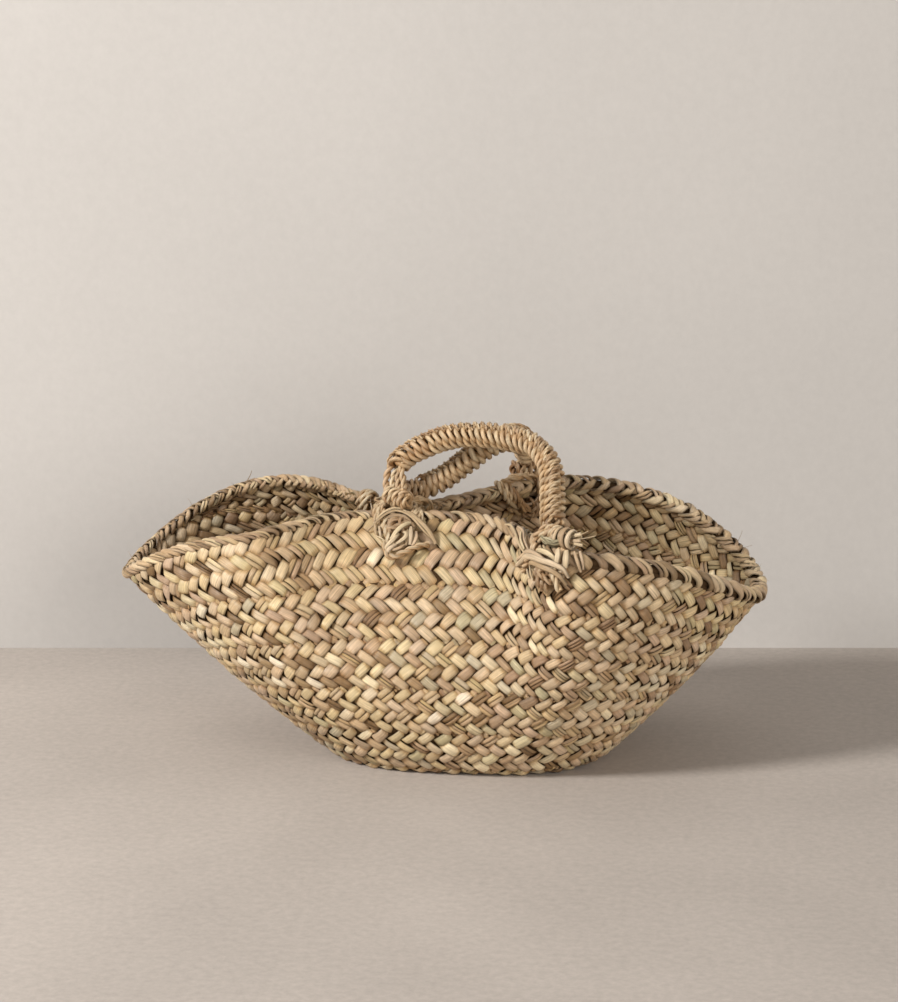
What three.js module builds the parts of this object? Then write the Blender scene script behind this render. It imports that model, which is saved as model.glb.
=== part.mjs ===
import * as THREE from "three";

// Palm leaf basket, a soft two-lobed shopping basket sewn from one long plait.
// Millimetres, +Z up, the long side along X, the front towards -Y.

// The mouth seen from above
const mouthLength = 460;
const mouthShift = -22;
const leftLobeFront = 90;
const rightLobeFront = 130;
const leftLobeBack = 112;
const rightLobeBack = 90;
const lobeMeeting = -35;
const lobeBlend = 45;
const frontPinchX = -38;
const frontPinchWidth = 90;
const frontPinchSharpness = 4.5;
const frontNeck = 14;
const backPinchX = -48;
const backPinchWidth = 78;
const backPinchSharpness = 1.9;
const backNeck = 8;
const backFullness = 0.7;

// The mouth seen from the front
const rimTop = 170;
const tipDrop = 52;
const dropSharpness = 3.9;
const backRise = 11;

// The base and the wall's lean
const baseHalfLength = 107;
const baseHalfWidth = 90;
const baseSquareness = 2.7;
const edgeRadius = 9;
const wallLineHeight = 7;
const sideFlare = 37;
const leftFlare = 55;
const rightFlare = 48;
const bulge = 0.45;

// The plait, its turns and what sews them
const plaitThickness = 4.5;
const baseBands = 3;
const wallBands = 5;
const flatBands = 2.79;
const seamGap = 0.36;
const edgeTuck = 0.7;
const grooveWidth = 2.6;
const grooveDepth = 1.5;
const seamCordRadius = 1.1;
const climbFrom = 105;
const climbTo = 165;
const stations = 60;

// The plaited edge
const rimWidth = 9;
const rimHeight = 11;
const fit = 0.32;

// The handles: where their ends sit on the rim, in degrees round the mouth
const frontRoots = [263, 292];
const backRoots = [95.5, 76.9];
const endBallRadius = 8;
const coreRadius = 4.6;
const wrapThickness = 3.5;
const wrapGap = 1.4;
const frontLean = 42;
const backLean = 40;
const frontLoops = 23;
const backLoops = 12;
const stepsPerLoop = 12;

// The lashings and root knots
const lashRadius = 2;
const lashDrop = 21;
const knotRadius = 8;
const knotFlatness = 0.62;

const turnAround = 2 * Math.PI;
const degree = Math.PI / 180;
const bandCount = baseBands + wallBands;
const up = new THREE.Vector3(0, 0, 1);
const at = (x, y, z) => new THREE.Vector3(x, y, z);
const along = (p, d, v) => p.clone().addScaledVector(v, d);
const mixed = (a, b, t) => a.clone().lerp(b, t);
const signedPower = (v, k) => Math.sign(v) * Math.abs(v) ** k;

// Highest outer line of the rim at one angle round the mouth
function rimPoint(phi) {
  const c = Math.cos(phi);
  const s = Math.sin(phi);
  const x = mouthShift + (mouthLength / 2) * c;
  const mix = 0.5 + 0.5 * Math.tanh((x - lobeMeeting) / lobeBlend);
  const frontIn = Math.exp(-(Math.abs((x - frontPinchX) / frontPinchWidth) ** frontPinchSharpness));
  const backIn = Math.exp(-(Math.abs((x - backPinchX) / backPinchWidth) ** backPinchSharpness));
  const frontHalf = leftLobeFront + (rightLobeFront - leftLobeFront) * mix;
  const backHalf = leftLobeBack + (rightLobeBack - leftLobeBack) * mix;
  const front = frontHalf * Math.abs(s) * (1 - frontIn) + frontNeck * frontIn;
  const back = backHalf * Math.abs(s) ** backFullness * (1 - backIn) + backNeck * backIn;
  const drop = tipDrop * Math.abs(c) ** dropSharpness;
  const rise = backRise * Math.max(s, 0) * (1 - backIn);
  return at(x, s < 0 ? -front : back, rimTop - drop + rise);
}

// The line the plait follows from the middle of the base to the rim at one angle
const lines = new Map();
function lineAt(phi) {
  if (lines.has(phi)) return lines.get(phi);
  const c = Math.cos(phi);
  const s = Math.sin(phi);
  const k = 2 / baseSquareness;
  const top = rimPoint(phi);
  const endFlare = c < 0 ? leftFlare : rightFlare;
  const flare = (sideFlare + (endFlare - sideFlare) * c * c) * degree;
  const out = at(c, s, 0);
  const slope = at(c * Math.tan(flare), s * Math.tan(flare), 1);
  const turn = Math.PI / 2 - flare;
  const onLine = at(baseHalfLength * signedPower(c, k), baseHalfWidth * signedPower(s, k), wallLineHeight);
  const foot = along(onLine, edgeRadius * (1 - Math.cos(turn)) - wallLineHeight, slope);
  const bend = along(onLine, bulge * (top.z - wallLineHeight), slope);
  const rising = top.clone().sub(bend).normalize();
  const wallTop = along(top, -(rimHeight + fit), rising);
  const flatEnd = along(foot, -edgeRadius * Math.sin(turn), out).setZ(0);
  const line = { out, turn, foot, bend, wallTop, flatEnd };
  lines.set(phi, line);
  return line;
}

// Outer face of the basket: band counts the plait widths from the middle of the base
function skinPoint(phi, band) {
  const l = lineAt(phi);
  if (band <= flatBands) return l.flatEnd.clone().multiplyScalar(band / flatBands);
  if (band <= baseBands) {
    const b = (l.turn * (band - flatBands)) / (baseBands - flatBands);
    return along(l.flatEnd, edgeRadius * Math.sin(b), l.out).setZ(edgeRadius * (1 - Math.cos(b)));
  }
  const t = (band - baseBands) / wallBands;
  const first = mixed(l.foot, l.bend, t);
  const second = mixed(l.bend, l.wallTop, t);
  return first.lerp(second, t);
}

// Stations round the basket, closer together where the rim turns sharply
const fine = 2880;
const measure = [0];
const rimLength = [0];
{
  const ring = Array.from({ length: fine + 1 }, (_, i) => rimPoint((i / fine) * turnAround + climbTo * degree));
  const foot = Array.from({ length: fine + 1 }, (_, i) => lineAt((i / fine) * turnAround + climbTo * degree).foot);
  let turned = 0;
  let length = 0;
  let footLength = 0;
  const parts = [];
  for (let i = 1; i <= fine; i += 1) {
    const a = ring[(i - 2 + fine) % fine];
    const d1 = ring[i - 1].clone().sub(a);
    const d2 = ring[i].clone().sub(ring[i - 1]);
    const bend = Math.abs(Math.atan2(d1.x * d2.y - d1.y * d2.x, d1.x * d2.x + d1.y * d2.y));
    const parted = { rim: d2.length(), foot: foot[i].distanceTo(foot[i - 1]), bend };
    length += parted.rim;
    footLength += parted.foot;
    turned += parted.bend;
    parts.push(parted);
    rimLength.push(length);
  }
  parts.forEach((p) => {
    const step = 0.5 * (p.rim / length) + 0.25 * (p.foot / footLength) + 0.25 * (p.bend / turned);
    measure.push(measure[measure.length - 1] + step);
  });
}
const angleWhere = (table, value) => {
  const whole = table[fine];
  const laps = Math.floor(value / whole);
  const rest = value - laps * whole;
  let i = table.findIndex((m) => m > rest);
  if (i < 1) i = fine;
  const t = (rest - table[i - 1]) / (table[i] - table[i - 1]);
  return ((i - 1 + t) / fine + laps) * turnAround + climbTo * degree;
};
const stationAngle = Array.from({ length: stations }, (_, i) => angleWhere(measure, i / stations));
const angleOf = (i) => stationAngle[((i % stations) + stations) % stations];

// How far the plait has climbed to the next turn, 0 to 1, at a station
function lift(i) {
  const around = (angleOf(i) - climbTo * degree) / degree;
  const start = 360 - (climbTo - climbFrom);
  const t = Math.min(Math.max((around - start) / (climbTo - climbFrom), 0), 1);
  return t * t * (3 - 2 * t);
}
const climbStation = stationAngle.findIndex((a) => (a - climbTo * degree) / degree > 360 - (climbTo - climbFrom));

// Directions of the skin at a station: along the line upwards, and inwards through the plait
const frames = new Map();
function frameAt(i, band) {
  const j = ((i % stations) + stations) % stations;
  const key = j + ":" + band.toFixed(5);
  if (frames.has(key)) return frames.get(key);
  const round = skinPoint(angleOf(j + 1), band).sub(skinPoint(angleOf(j - 1), band));
  const low = Math.max(band - 0.02, 0.01);
  const high = Math.min(band + 0.02, bandCount);
  const rising = skinPoint(angleOf(j), high).sub(skinPoint(angleOf(j), low)).normalize();
  const inward = rising.clone().cross(round).normalize();
  const frame = { point: skinPoint(angleOf(j), band), rising, inward };
  frames.set(key, frame);
  return frame;
}
const skinAt = (i, band, depth, shift = 0) => {
  const f = frameAt(i, band);
  return along(along(f.point, depth, f.inward), shift, f.rising);
};

// A closed surface through rings of points, capped unless it joins up with itself
function skin(rings, joined = false) {
  const sides = rings[0].length;
  const points = rings.flat();
  const faces = [];
  const last = joined ? rings.length : rings.length - 1;
  for (let r = 0; r < last; r += 1) {
    const next = (r + 1) % rings.length;
    for (let s = 0; s < sides; s += 1) {
      const t = (s + 1) % sides;
      faces.push(r * sides + s, r * sides + t, next * sides + t);
      faces.push(r * sides + s, next * sides + t, next * sides + s);
    }
  }
  if (!joined) {
    [0, rings.length - 1].forEach((r, end) => {
      const middle = rings[r].reduce((sum, p) => sum.add(p), at(0, 0, 0)).divideScalar(sides);
      points.push(middle);
      for (let s = 0; s < sides; s += 1) {
        const a = r * sides + s;
        const b = r * sides + ((s + 1) % sides);
        if (end === 0) faces.push(points.length - 1, b, a);
        else faces.push(points.length - 1, a, b);
      }
    });
  }
  let volume = 0;
  for (let f = 0; f < faces.length; f += 3) {
    volume += points[faces[f]].dot(points[faces[f + 1]].clone().cross(points[faces[f + 2]]));
  }
  if (volume < 0) {
    for (let f = 0; f < faces.length; f += 3) [faces[f], faces[f + 1]] = [faces[f + 1], faces[f]];
  }
  const geometry = new THREE.BufferGeometry();
  geometry.setAttribute("position", new THREE.Float32BufferAttribute(points.flatMap((p) => [p.x, p.y, p.z]), 3));
  geometry.setIndex(faces);
  return geometry;
}

// Ends pulled back a little, so that neighbouring lengths never touch
function pullBack(rings, distance) {
  const shorten = (ring, inner) => ring.map((p, k) => mixed(p, inner[k], distance / p.distanceTo(inner[k])));
  rings[0] = shorten(rings[0], rings[1]);
  rings[rings.length - 1] = shorten(rings[rings.length - 1], rings[rings.length - 2]);
  return rings;
}

const leafColour = 0xc9b187;
const cordColour = 0xb89c6e;
const group = new THREE.Group();
group.name = "palm_leaf_basket";
function add(name, geometry, colour) {
  geometry.computeVertexNormals();
  const material = new THREE.MeshStandardMaterial({ color: colour, roughness: 0.85, metalness: 0 });
  const mesh = new THREE.Mesh(geometry, material);
  mesh.name = name;
  group.add(mesh);
}

// One turn of plait: crowned outside, with bevelled inner edges that make the sewing grooves
function plaitRing(i, low, high, outer) {
  const width = skinPoint(angleOf(i), high).distanceTo(skinPoint(angleOf(i), low));
  const bevel = Math.min(grooveWidth, 0.3 * width) / width;
  const half = seamGap / 2;
  const tuck = Math.min(1, width / 12);
  const across = (t) => low + (high - low) * t;
  const ring = outer.map((t) => {
    const depth = t === 0 || t === 1 ? edgeTuck * tuck : 0;
    const shift = t === 0 ? half : t === 1 ? -half : 0;
    return skinAt(i, across(t), depth, shift);
  });
  ring.push(skinAt(i, high, plaitThickness - grooveDepth * tuck, -half));
  ring.push(skinAt(i, across(1 - bevel), plaitThickness));
  ring.push(skinAt(i, across(bevel), plaitThickness));
  ring.push(skinAt(i, low, plaitThickness - grooveDepth * tuck, half));
  return ring;
}
function plaitTurn(turn, outer) {
  const rings = [];
  if (turn === 1) {
    for (let i = climbStation; i < stations; i += 1) {
      if (lift(i) > 0.12) rings.push(plaitRing(i, 1, 1 + lift(i), outer));
    }
  }
  for (let i = 0; i < stations; i += 1) {
    const high = Math.min(turn + 1 + lift(i), bandCount);
    if (high - turn - lift(i) > 0.1) rings.push(plaitRing(i, turn + lift(i), high, outer));
  }
  if (turn < bandCount - 1) rings.push(plaitRing(0, turn + 1, turn + 2, outer));
  return skin(pullBack(rings, seamGap / 2));
}

// The start of the plait, coiled flat in the middle of the base
{
  const rings = [];
  for (let i = 0; i < stations; i += 1) {
    const f = frameAt(i, 1);
    rings.push([
      along(along(f.point, -seamGap / 2, f.rising), plaitThickness - grooveDepth, f.inward),
      along(along(f.point, -grooveWidth, f.rising), plaitThickness, f.inward),
      along(along(f.point, -f.point.length() * 0.9, f.rising), plaitThickness - 0.6, f.inward),
      along(f.point, -f.point.length() * 0.9, f.rising),
      along(f.point, -grooveWidth, f.rising),
      along(along(f.point, -seamGap / 2, f.rising), edgeTuck, f.inward),
    ]);
  }
  const sides = 6;
  const points = rings.flat();
  const faces = [];
  for (let r = 0; r < stations; r += 1) {
    const next = (r + 1) % stations;
    for (let s = 0; s < sides; s += 1) {
      const t = (s + 1) % sides;
      if (s === 2) continue;
      faces.push(r * sides + s, next * sides + t, r * sides + t);
      faces.push(r * sides + s, next * sides + s, next * sides + t);
    }
    faces.push(points.length, r * sides + 2, next * sides + 2);
    faces.push(points.length + 1, next * sides + 3, r * sides + 3);
  }
  points.push(at(0, 0, plaitThickness - 0.6), at(0, 0, 0));
  const volume = faces.reduce((sum, _, f) => {
    if (f % 3) return sum;
    return sum + points[faces[f]].dot(points[faces[f + 1]].clone().cross(points[faces[f + 2]]));
  }, 0);
  if (volume < 0) {
    for (let f = 0; f < faces.length; f += 3) [faces[f], faces[f + 1]] = [faces[f + 1], faces[f]];
  }
  const geometry = new THREE.BufferGeometry();
  geometry.setAttribute("position", new THREE.Float32BufferAttribute(points.flatMap((p) => [p.x, p.y, p.z]), 3));
  geometry.setIndex(faces);
  add("base_centre", geometry, leafColour);
}

for (let turn = 1; turn < bandCount; turn += 1) {
  const onBase = turn < baseBands;
  const outer = turn === baseBands - 1 ? [0, 0.12, flatBands - turn, 0.9, 1] : onBase ? [0, 0.12, 0.88, 1] : [0, 0.5, 1];
  const name = onBase ? "base_turn_" + turn : "wall_turn_" + (turn - baseBands + 1);
  add(name, plaitTurn(turn, outer), leafColour);
}

// Sewing cord laid in the groove between one turn and the next
for (let seam = 1; seam < bandCount; seam += 1) {
  const rings = [];
  const depth = plaitThickness - grooveDepth + (seamCordRadius + fit + 0.15) / Math.cos(Math.atan(grooveDepth / grooveWidth));
  const ringAt = (i, band) =>
    [0, 1, 2, 3].map((k) => {
      const a = (k / 4) * turnAround;
      return skinAt(i, band, depth + seamCordRadius * Math.sin(a), seamCordRadius * Math.cos(a));
    });
  if (seam === 1) {
    for (let i = climbStation + 2; i < stations; i += 1) rings.push(ringAt(i, 1));
  }
  for (let i = 0; i < stations; i += 1) {
    if (seam + lift(i) < bandCount - 0.15) rings.push(ringAt(i, seam + lift(i)));
  }
  if (seam < bandCount - 1) rings.push(ringAt(0, seam + 1));
  add("seam_cord_" + seam, skin(pullBack(rings, fit)), cordColour);
}

// The plaited edge that closes the top of the wall
const rimCentre = (i) => {
  const f = frameAt(i, bandCount);
  return along(along(f.point, fit + rimHeight / 2, f.rising), plaitThickness / 2, f.inward);
};
{
  const rings = [];
  for (let i = 0; i < stations; i += 1) {
    const f = frameAt(i, bandCount);
    rings.push(
      Array.from({ length: 8 }, (_, k) => {
        const a = ((k + 0.5) / 8) * turnAround;
        const wide = (rimWidth / 2) * Math.cos(a) * 1.08;
        const tall = (rimHeight / 2) * Math.sin(a) * 1.08;
        return along(along(rimCentre(i), wide, f.inward), tall, f.rising);
      }),
    );
  }
  add("rim_cord", skin(rings, true), leafColour);
}

// Places on the basket counted along the rim from a root, for what is lashed to it
const lengthAt = (phi) => {
  const t = (((phi - climbTo * degree) / turnAround) % 1) + 1;
  const f = (t % 1) * fine;
  const i = Math.floor(f);
  return rimLength[i] + (rimLength[i + 1] - rimLength[i]) * (f - i);
};
function stationWhere(phi) {
  const lap = (((phi - climbTo * degree) % turnAround) + turnAround) % turnAround;
  const angles = stationAngle.map((a) => a - climbTo * degree).concat([turnAround]);
  const i = angles.findIndex((a) => a > lap) - 1;
  return i + (lap - angles[i]) / (angles[i + 1] - angles[i]);
}
function beside(root, offset, band, depth) {
  const where = stationWhere(angleWhere(rimLength, lengthAt(root * degree) + offset));
  const i = Math.floor(where);
  return mixed(skinAt(i, band, depth), skinAt(i + 1, band, depth), where - i);
}
function rimBeside(root, offset) {
  const where = stationWhere(angleWhere(rimLength, lengthAt(root * degree) + offset));
  const i = Math.floor(where);
  const a = frameAt(i, bandCount);
  const b = frameAt(i + 1, bandCount);
  const t = where - i;
  return {
    centre: mixed(rimCentre(i), rimCentre(i + 1), t),
    rising: mixed(a.rising, b.rising, t).normalize(),
    inward: mixed(a.inward, b.inward, t).normalize(),
  };
}

// A round cord through hand-set points, with flat ends
function cord(points, radius, count, sides) {
  const path = new THREE.CatmullRomCurve3(points, false, "centripetal");
  path.arcLengthDivisions = 300;
  const rings = [];
  let side = null;
  for (let i = 0; i <= count; i += 1) {
    const p = path.getPointAt(i / count);
    const t = path.getTangentAt(i / count).normalize();
    side = side || (Math.abs(t.z) < 0.8 ? up.clone() : at(1, 0, 0));
    side = along(side, -side.dot(t), t).normalize();
    const other = t.clone().cross(side);
    rings.push(
      Array.from({ length: sides }, (_, k) => {
        const a = (k / sides) * turnAround;
        return along(along(p, radius * Math.cos(a), side), radius * Math.sin(a), other);
      }),
    );
  }
  return skin(rings);
}

// A root knot lies just below the rim, on one face of the wall
function knotFrame(root, knotOffset, outside) {
  const thick = knotRadius * knotFlatness;
  const depth = outside ? -(thick + fit + 0.5) : plaitThickness + thick + fit + 0.7;
  const centre = beside(root, knotOffset, knotBand(root), depth);
  const inward = beside(root, knotOffset, knotBand(root), depth + 1).sub(centre).normalize();
  const after = beside(root, knotOffset + 2, knotBand(root), depth);
  const level = after.sub(beside(root, knotOffset - 2, knotBand(root), depth)).normalize();
  const rising = inward.clone().cross(level).normalize();
  return { thick, centre, inward, level, rising };
}
function knotBand(root) {
  const width = skinPoint(root * degree, bandCount).distanceTo(skinPoint(root * degree, bandCount - 1));
  return bandCount - (lashDrop - rimHeight) / width;
}
function rootKnot(name, root, knotOffset, outside) {
  const f = knotFrame(root, knotOffset, outside);
  const rings = [0.08, 0.2, 0.36, 0.5, 0.64, 0.8, 0.92].map((t) => {
    const c = -Math.cos(t * Math.PI);
    const r = Math.sin(t * Math.PI);
    return Array.from({ length: 8 }, (_, k) => {
      const a = (k / 8) * turnAround;
      const p = along(f.centre, knotRadius * c, f.level);
      return along(along(p, knotRadius * r * Math.cos(a), f.rising), f.thick * r * Math.sin(a), f.inward);
    });
  });
  add(name, skin(rings), cordColour);
}

// A lashing goes over the rim on both sides of its knot and ends square to the knot
function lashing(name, root, offsets, knotOffset, outside) {
  const knot = knotFrame(root, knotOffset, outside);
  const low = knotBand(root);
  const clear = lashRadius + 0.6;
  const nearDepth = outside ? -clear : plaitThickness + clear + 0.5;
  const farDepth = outside ? plaitThickness + clear + 0.5 : -clear;
  const toFar = outside ? 1 : -1;
  const over = (offset) => {
    const r = rimBeside(root, offset);
    const reachIn = (rimWidth / 2) * 1.08 + lashRadius + 0.5;
    const reachUp = (rimHeight / 2) * 1.08 + lashRadius + 0.5;
    return [-100, -66, -33, 0, 33, 66, 100].map((a) => {
      const p = along(r.centre, toFar * reachIn * Math.sin(a * degree), r.inward);
      return along(p, reachUp * Math.cos(a * degree), r.rising);
    });
  };
  const [a, b] = offsets;
  const ends = (side) => [
    along(knot.centre, side * (knotRadius + 0.3), knot.level),
    along(knot.centre, side * (knotRadius + 2.3), knot.level),
  ];
  const sideOf = (offset) => Math.sign(offset - knotOffset);
  const points = [
    ...ends(sideOf(a)),
    beside(root, a, (low + bandCount) / 2, nearDepth),
    ...over(a),
    beside(root, a, (low + bandCount) / 2, farDepth),
    beside(root, (a * 2 + b) / 3, low, farDepth),
    beside(root, (a + b * 2) / 3, low, farDepth),
    beside(root, b, (low + bandCount) / 2, farDepth),
    ...over(b).reverse(),
    beside(root, b, (low + bandCount) / 2, nearDepth),
    ...ends(sideOf(b)).reverse(),
  ];
  add(name, cord(points, lashRadius, 40, 5), cordColour);
}
const frontLeft = frontRoots[0];
const frontRight = frontRoots[1];
const backLeft = backRoots[0];
const backRight = backRoots[1];
rootKnot("front_left_knot", frontLeft, 0, true);
rootKnot("front_right_knot", frontRight, 0, true);
rootKnot("back_left_knot", backLeft, 26, false);
rootKnot("back_right_knot", backRight, 0, false);
lashing("front_left_lashing", frontLeft, [-15, 15], 0, true);
lashing("front_right_lashing", frontRight, [-15, 15], 0, true);
lashing("back_left_lashing", backLeft, [38, 14], 26, false);
lashing("back_right_lashing", backRight, [-15, 15], 0, false);

// Where the handle ends sit: a ball on top of the rim at each root
const ballAt = (root) => along(rimBeside(root, 0).centre, rimHeight / 2 + fit + endBallRadius, up);

// A handle in its leaning plane: the line of the rope and the directions across it
function handlePlane(rootPair, lean, shape) {
  const from = ballAt(rootPair[0]);
  const to = ballAt(rootPair[1]);
  const chord = to.clone().sub(from);
  const dir = chord.clone().normalize();
  const level = up.clone().cross(dir).normalize();
  const square = dir.clone().cross(level).multiplyScalar(-1);
  const upright = square.z > 0 ? square : square.multiplyScalar(-1);
  const rise = along(upright.clone().multiplyScalar(Math.cos(lean * degree)), Math.sin(lean * degree), level);
  const points = shape.map(([u, v]) => along(along(from, u * chord.length(), dir), v, rise));
  const path = new THREE.CatmullRomCurve3(points, false, "centripetal");
  path.arcLengthDivisions = 600;
  const length = path.getLength();
  const across = dir.clone().cross(rise).normalize();
  const spot = (s) => {
    const u = Math.min(Math.max(s / length, 0), 1);
    const t = path.getTangentAt(u).normalize();
    const p = along(path.getPointAt(u), s - u * length, t);
    return { p, t, n: across.clone().cross(t).normalize() };
  };
  const ringAt = (s, radius, sides) => {
    const f = spot(s);
    return Array.from({ length: sides }, (_, k) => {
      const a = (k / sides) * turnAround;
      return along(along(f.p, radius * Math.cos(a), f.n), radius * Math.sin(a), across);
    });
  };
  return { from, to, dir, across, length, spot, ringAt };
}

// Rings of a ball centred on a handle's hinge line; away points from the rope to the ball
function ballRings(centre, away, across, sides, whole) {
  const n = across.clone().cross(away).normalize();
  const neck = Math.sqrt(endBallRadius ** 2 - coreRadius ** 2);
  const reach = [0.985, 0.86, 0.6, 0.25, -0.12, -0.5];
  const spots = reach.map((r) => r * endBallRadius).concat(whole ? [-0.86 * endBallRadius, -0.985 * endBallRadius] : [-neck]);
  return spots.map((d) => {
    const r = Math.sqrt(endBallRadius ** 2 - d * d);
    return Array.from({ length: sides }, (_, k) => {
      const a = (k / sides) * turnAround;
      return along(along(along(centre, d, away), r * Math.cos(a), n), r * Math.sin(a), across);
    });
  });
}

// The wrapping cord: one unbroken band wound round the core, its turns laid edge to edge
function wrapping(h, start, end, loops) {
  const pitch = (end - start) / (loops + 1);
  const halfWidth = (pitch - wrapGap) / 2;
  const inner = coreRadius + fit + 0.2;
  const middle = inner + wrapThickness / 2;
  const section = [
    [-halfWidth, -wrapThickness / 2],
    [halfWidth, -wrapThickness / 2],
    [halfWidth, wrapThickness * 0.12],
    [0, wrapThickness / 2],
    [-halfWidth, wrapThickness * 0.12],
  ];
  const place = (s, angle, out) => {
    const f = h.spot(s);
    return along(along(f.p, out * Math.cos(angle), f.n), out * Math.sin(angle), h.across);
  };
  const rings = [];
  const steps = loops * stepsPerLoop;
  for (let i = 0; i <= steps; i += 1) {
    const angle = (i / stepsPerLoop) * turnAround;
    const s = start + pitch * (0.5 + i / stepsPerLoop);
    rings.push(section.map(([ds, dr]) => place(s + ds, angle, middle + dr)));
  }
  let least = Infinity;
  for (let i = 0; i + stepsPerLoop < rings.length; i += 1) {
    const later = rings[i + stepsPerLoop];
    [[1, 0], [2, 4]].forEach(([a, b]) => {
      least = Math.min(least, rings[i][a].distanceTo(later[b]));
    });
  }
  const straight = (from, before) => {
    const step = from.map((p, k) => p.clone().sub(before[k]));
    const mean = step.reduce((sum, v) => sum.add(v), at(0, 0, 0)).normalize();
    return from.map((p) => along(p, wrapThickness, mean));
  };
  rings.unshift(straight(rings[0], rings[1]));
  rings.push(straight(rings[rings.length - 1], rings[rings.length - 2]));
  return { geometry: skin(rings), least };
}

// Front handle, leaning back over the mouth, its left leg open into four cords
const frontShape = [
  [0, 0],
  [-0.05, 8],
  [-0.097, 18],
  [-0.104, 27],
  [-0.062, 37],
  [0.03, 48],
  [0.13, 56],
  [0.27, 61],
  [0.45, 63],
  [0.62, 61.5],
  [0.735, 54.5],
  [0.815, 44],
  [0.88, 30],
  [0.95, 13],
  [1, 0],
];
const front = handlePlane(frontRoots, frontLean, frontShape);
const openLeg = 33;
{
  const rings = [];
  const last = front.length - Math.sqrt(endBallRadius ** 2 - coreRadius ** 2);
  const count = 32;
  for (let i = 0; i <= count; i += 1) {
    rings.push(front.ringAt(openLeg + ((last - 2 - openLeg) * i) / count, coreRadius, 8));
  }
  const away = front.spot(front.length).t;
  rings.push(...ballRings(front.to, away, front.across, 8, false).reverse());
  add("front_handle_core", skin(rings), cordColour);
  const wrap = wrapping(front, openLeg - 2.5, last - 1.2, frontLoops);
  add("front_handle_wrap", wrap.geometry, leafColour);
  console.log("front wrap least gap " + wrap.least.toFixed(2) + " mm");
  const ball = ballRings(front.from, front.spot(0).t.clone().multiplyScalar(-1), front.across, 10, true);
  add("front_handle_end", skin(ball), cordColour);
  for (let k = 0; k < 4; k += 1) {
    const spread = [3.4, 5, 5.8, 5.8, 5.2, 4.1, 3.1, 2.85, 2.85];
    const from = endBallRadius + fit + 0.1;
    const to = openLeg - fit - 0.1;
    const points = spread.map((out, j) => {
      const s = from + ((to - from) * j) / (spread.length - 1);
      const f = front.spot(s);
      const a = ((k + 0.5) / 4) * turnAround + 0.5 * (j / (spread.length - 1));
      return along(along(f.p, out * Math.cos(a), f.n), out * Math.sin(a), front.across);
    });
    const rootward = points[0].clone().sub(front.from).normalize();
    points[0] = along(front.from, from, rootward);
    add("front_handle_strand_" + (k + 1), cord(points, 1.7, 10, 6), cordColour);
  }
}

// Back handle, leaning forwards over the mouth
const backShape = [
  [0, 0],
  [0.1, 0.6],
  [0.2, 3],
  [0.3, 10],
  [0.42, 23],
  [0.55, 36],
  [0.65, 41],
  [0.745, 42.5],
  [0.835, 39],
  [0.905, 31],
  [0.955, 20],
  [0.985, 9.5],
  [1, 0],
];
const back = handlePlane(backRoots, -backLean, backShape);
{
  const neck = Math.sqrt(endBallRadius ** 2 - coreRadius ** 2);
  const rings = ballRings(back.from, back.spot(0).t.clone().multiplyScalar(-1), back.across, 8, false);
  const count = 18;
  for (let i = 0; i <= count; i += 1) {
    rings.push(back.ringAt(neck + 2 + ((back.length - 2 * neck - 4) * i) / count, coreRadius, 8));
  }
  rings.push(...ballRings(back.to, back.spot(back.length).t, back.across, 8, false).reverse());
  add("back_handle_core", skin(rings), cordColour);
  const wrap = wrapping(back, neck + 1.2, back.length - neck - 4.5, backLoops);
  add("back_handle_wrap", wrap.geometry, leafColour);
  console.log("back wrap least gap " + wrap.least.toFixed(2) + " mm");
}

// The box around everything is centred over the origin, the lowest point on the floor
const box = new THREE.Box3();
group.children.forEach((m) => {
  m.geometry.computeBoundingBox();
  box.union(m.geometry.boundingBox);
});
const shift = at(-(box.min.x + box.max.x) / 2, -(box.min.y + box.max.y) / 2, -box.min.z);
group.children.forEach((m) => m.geometry.translate(shift.x, shift.y, shift.z));
group.userData.hinges = {
  front: { at: front.from.clone().add(shift), dir: front.dir },
  back: { at: back.from.clone().add(shift), dir: back.dir },
  backSign: -1,
};
const told = (v) => v.toArray().map((n) => n.toFixed(2)).join(" ");
console.log("shift " + told(shift) + ", size " + told(box.max.clone().sub(box.min)));
console.log("front hinge " + told(front.from.clone().add(shift)) + " axis " + front.dir.toArray().map((n) => n.toFixed(5)));
console.log("back hinge " + told(back.from.clone().add(shift)) + " axis " + back.dir.toArray().map((n) => n.toFixed(5)));

export default group;
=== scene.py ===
import math

import bpy
import numpy as np
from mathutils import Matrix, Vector


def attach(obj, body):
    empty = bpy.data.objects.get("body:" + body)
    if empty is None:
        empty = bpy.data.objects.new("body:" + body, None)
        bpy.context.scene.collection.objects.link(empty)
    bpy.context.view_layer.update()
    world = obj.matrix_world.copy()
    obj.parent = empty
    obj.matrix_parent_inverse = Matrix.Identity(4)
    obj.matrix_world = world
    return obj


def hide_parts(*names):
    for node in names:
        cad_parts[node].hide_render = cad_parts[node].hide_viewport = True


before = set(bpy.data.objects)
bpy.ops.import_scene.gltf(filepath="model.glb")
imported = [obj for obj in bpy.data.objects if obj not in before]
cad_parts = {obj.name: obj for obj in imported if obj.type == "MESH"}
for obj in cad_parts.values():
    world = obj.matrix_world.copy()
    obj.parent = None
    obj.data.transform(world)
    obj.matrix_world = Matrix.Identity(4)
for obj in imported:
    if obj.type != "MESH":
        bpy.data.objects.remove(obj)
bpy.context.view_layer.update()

# Palm leaf basket: leaf plait in a spiral, whipped edge, two cord-wound handles.
# The sizes are the part's own, in millimetres, before the shift that centres its box.
MM = 0.001
TAU = 2 * math.pi
SHIFT = np.array([21.89, 5.11, 0.0])

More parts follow.
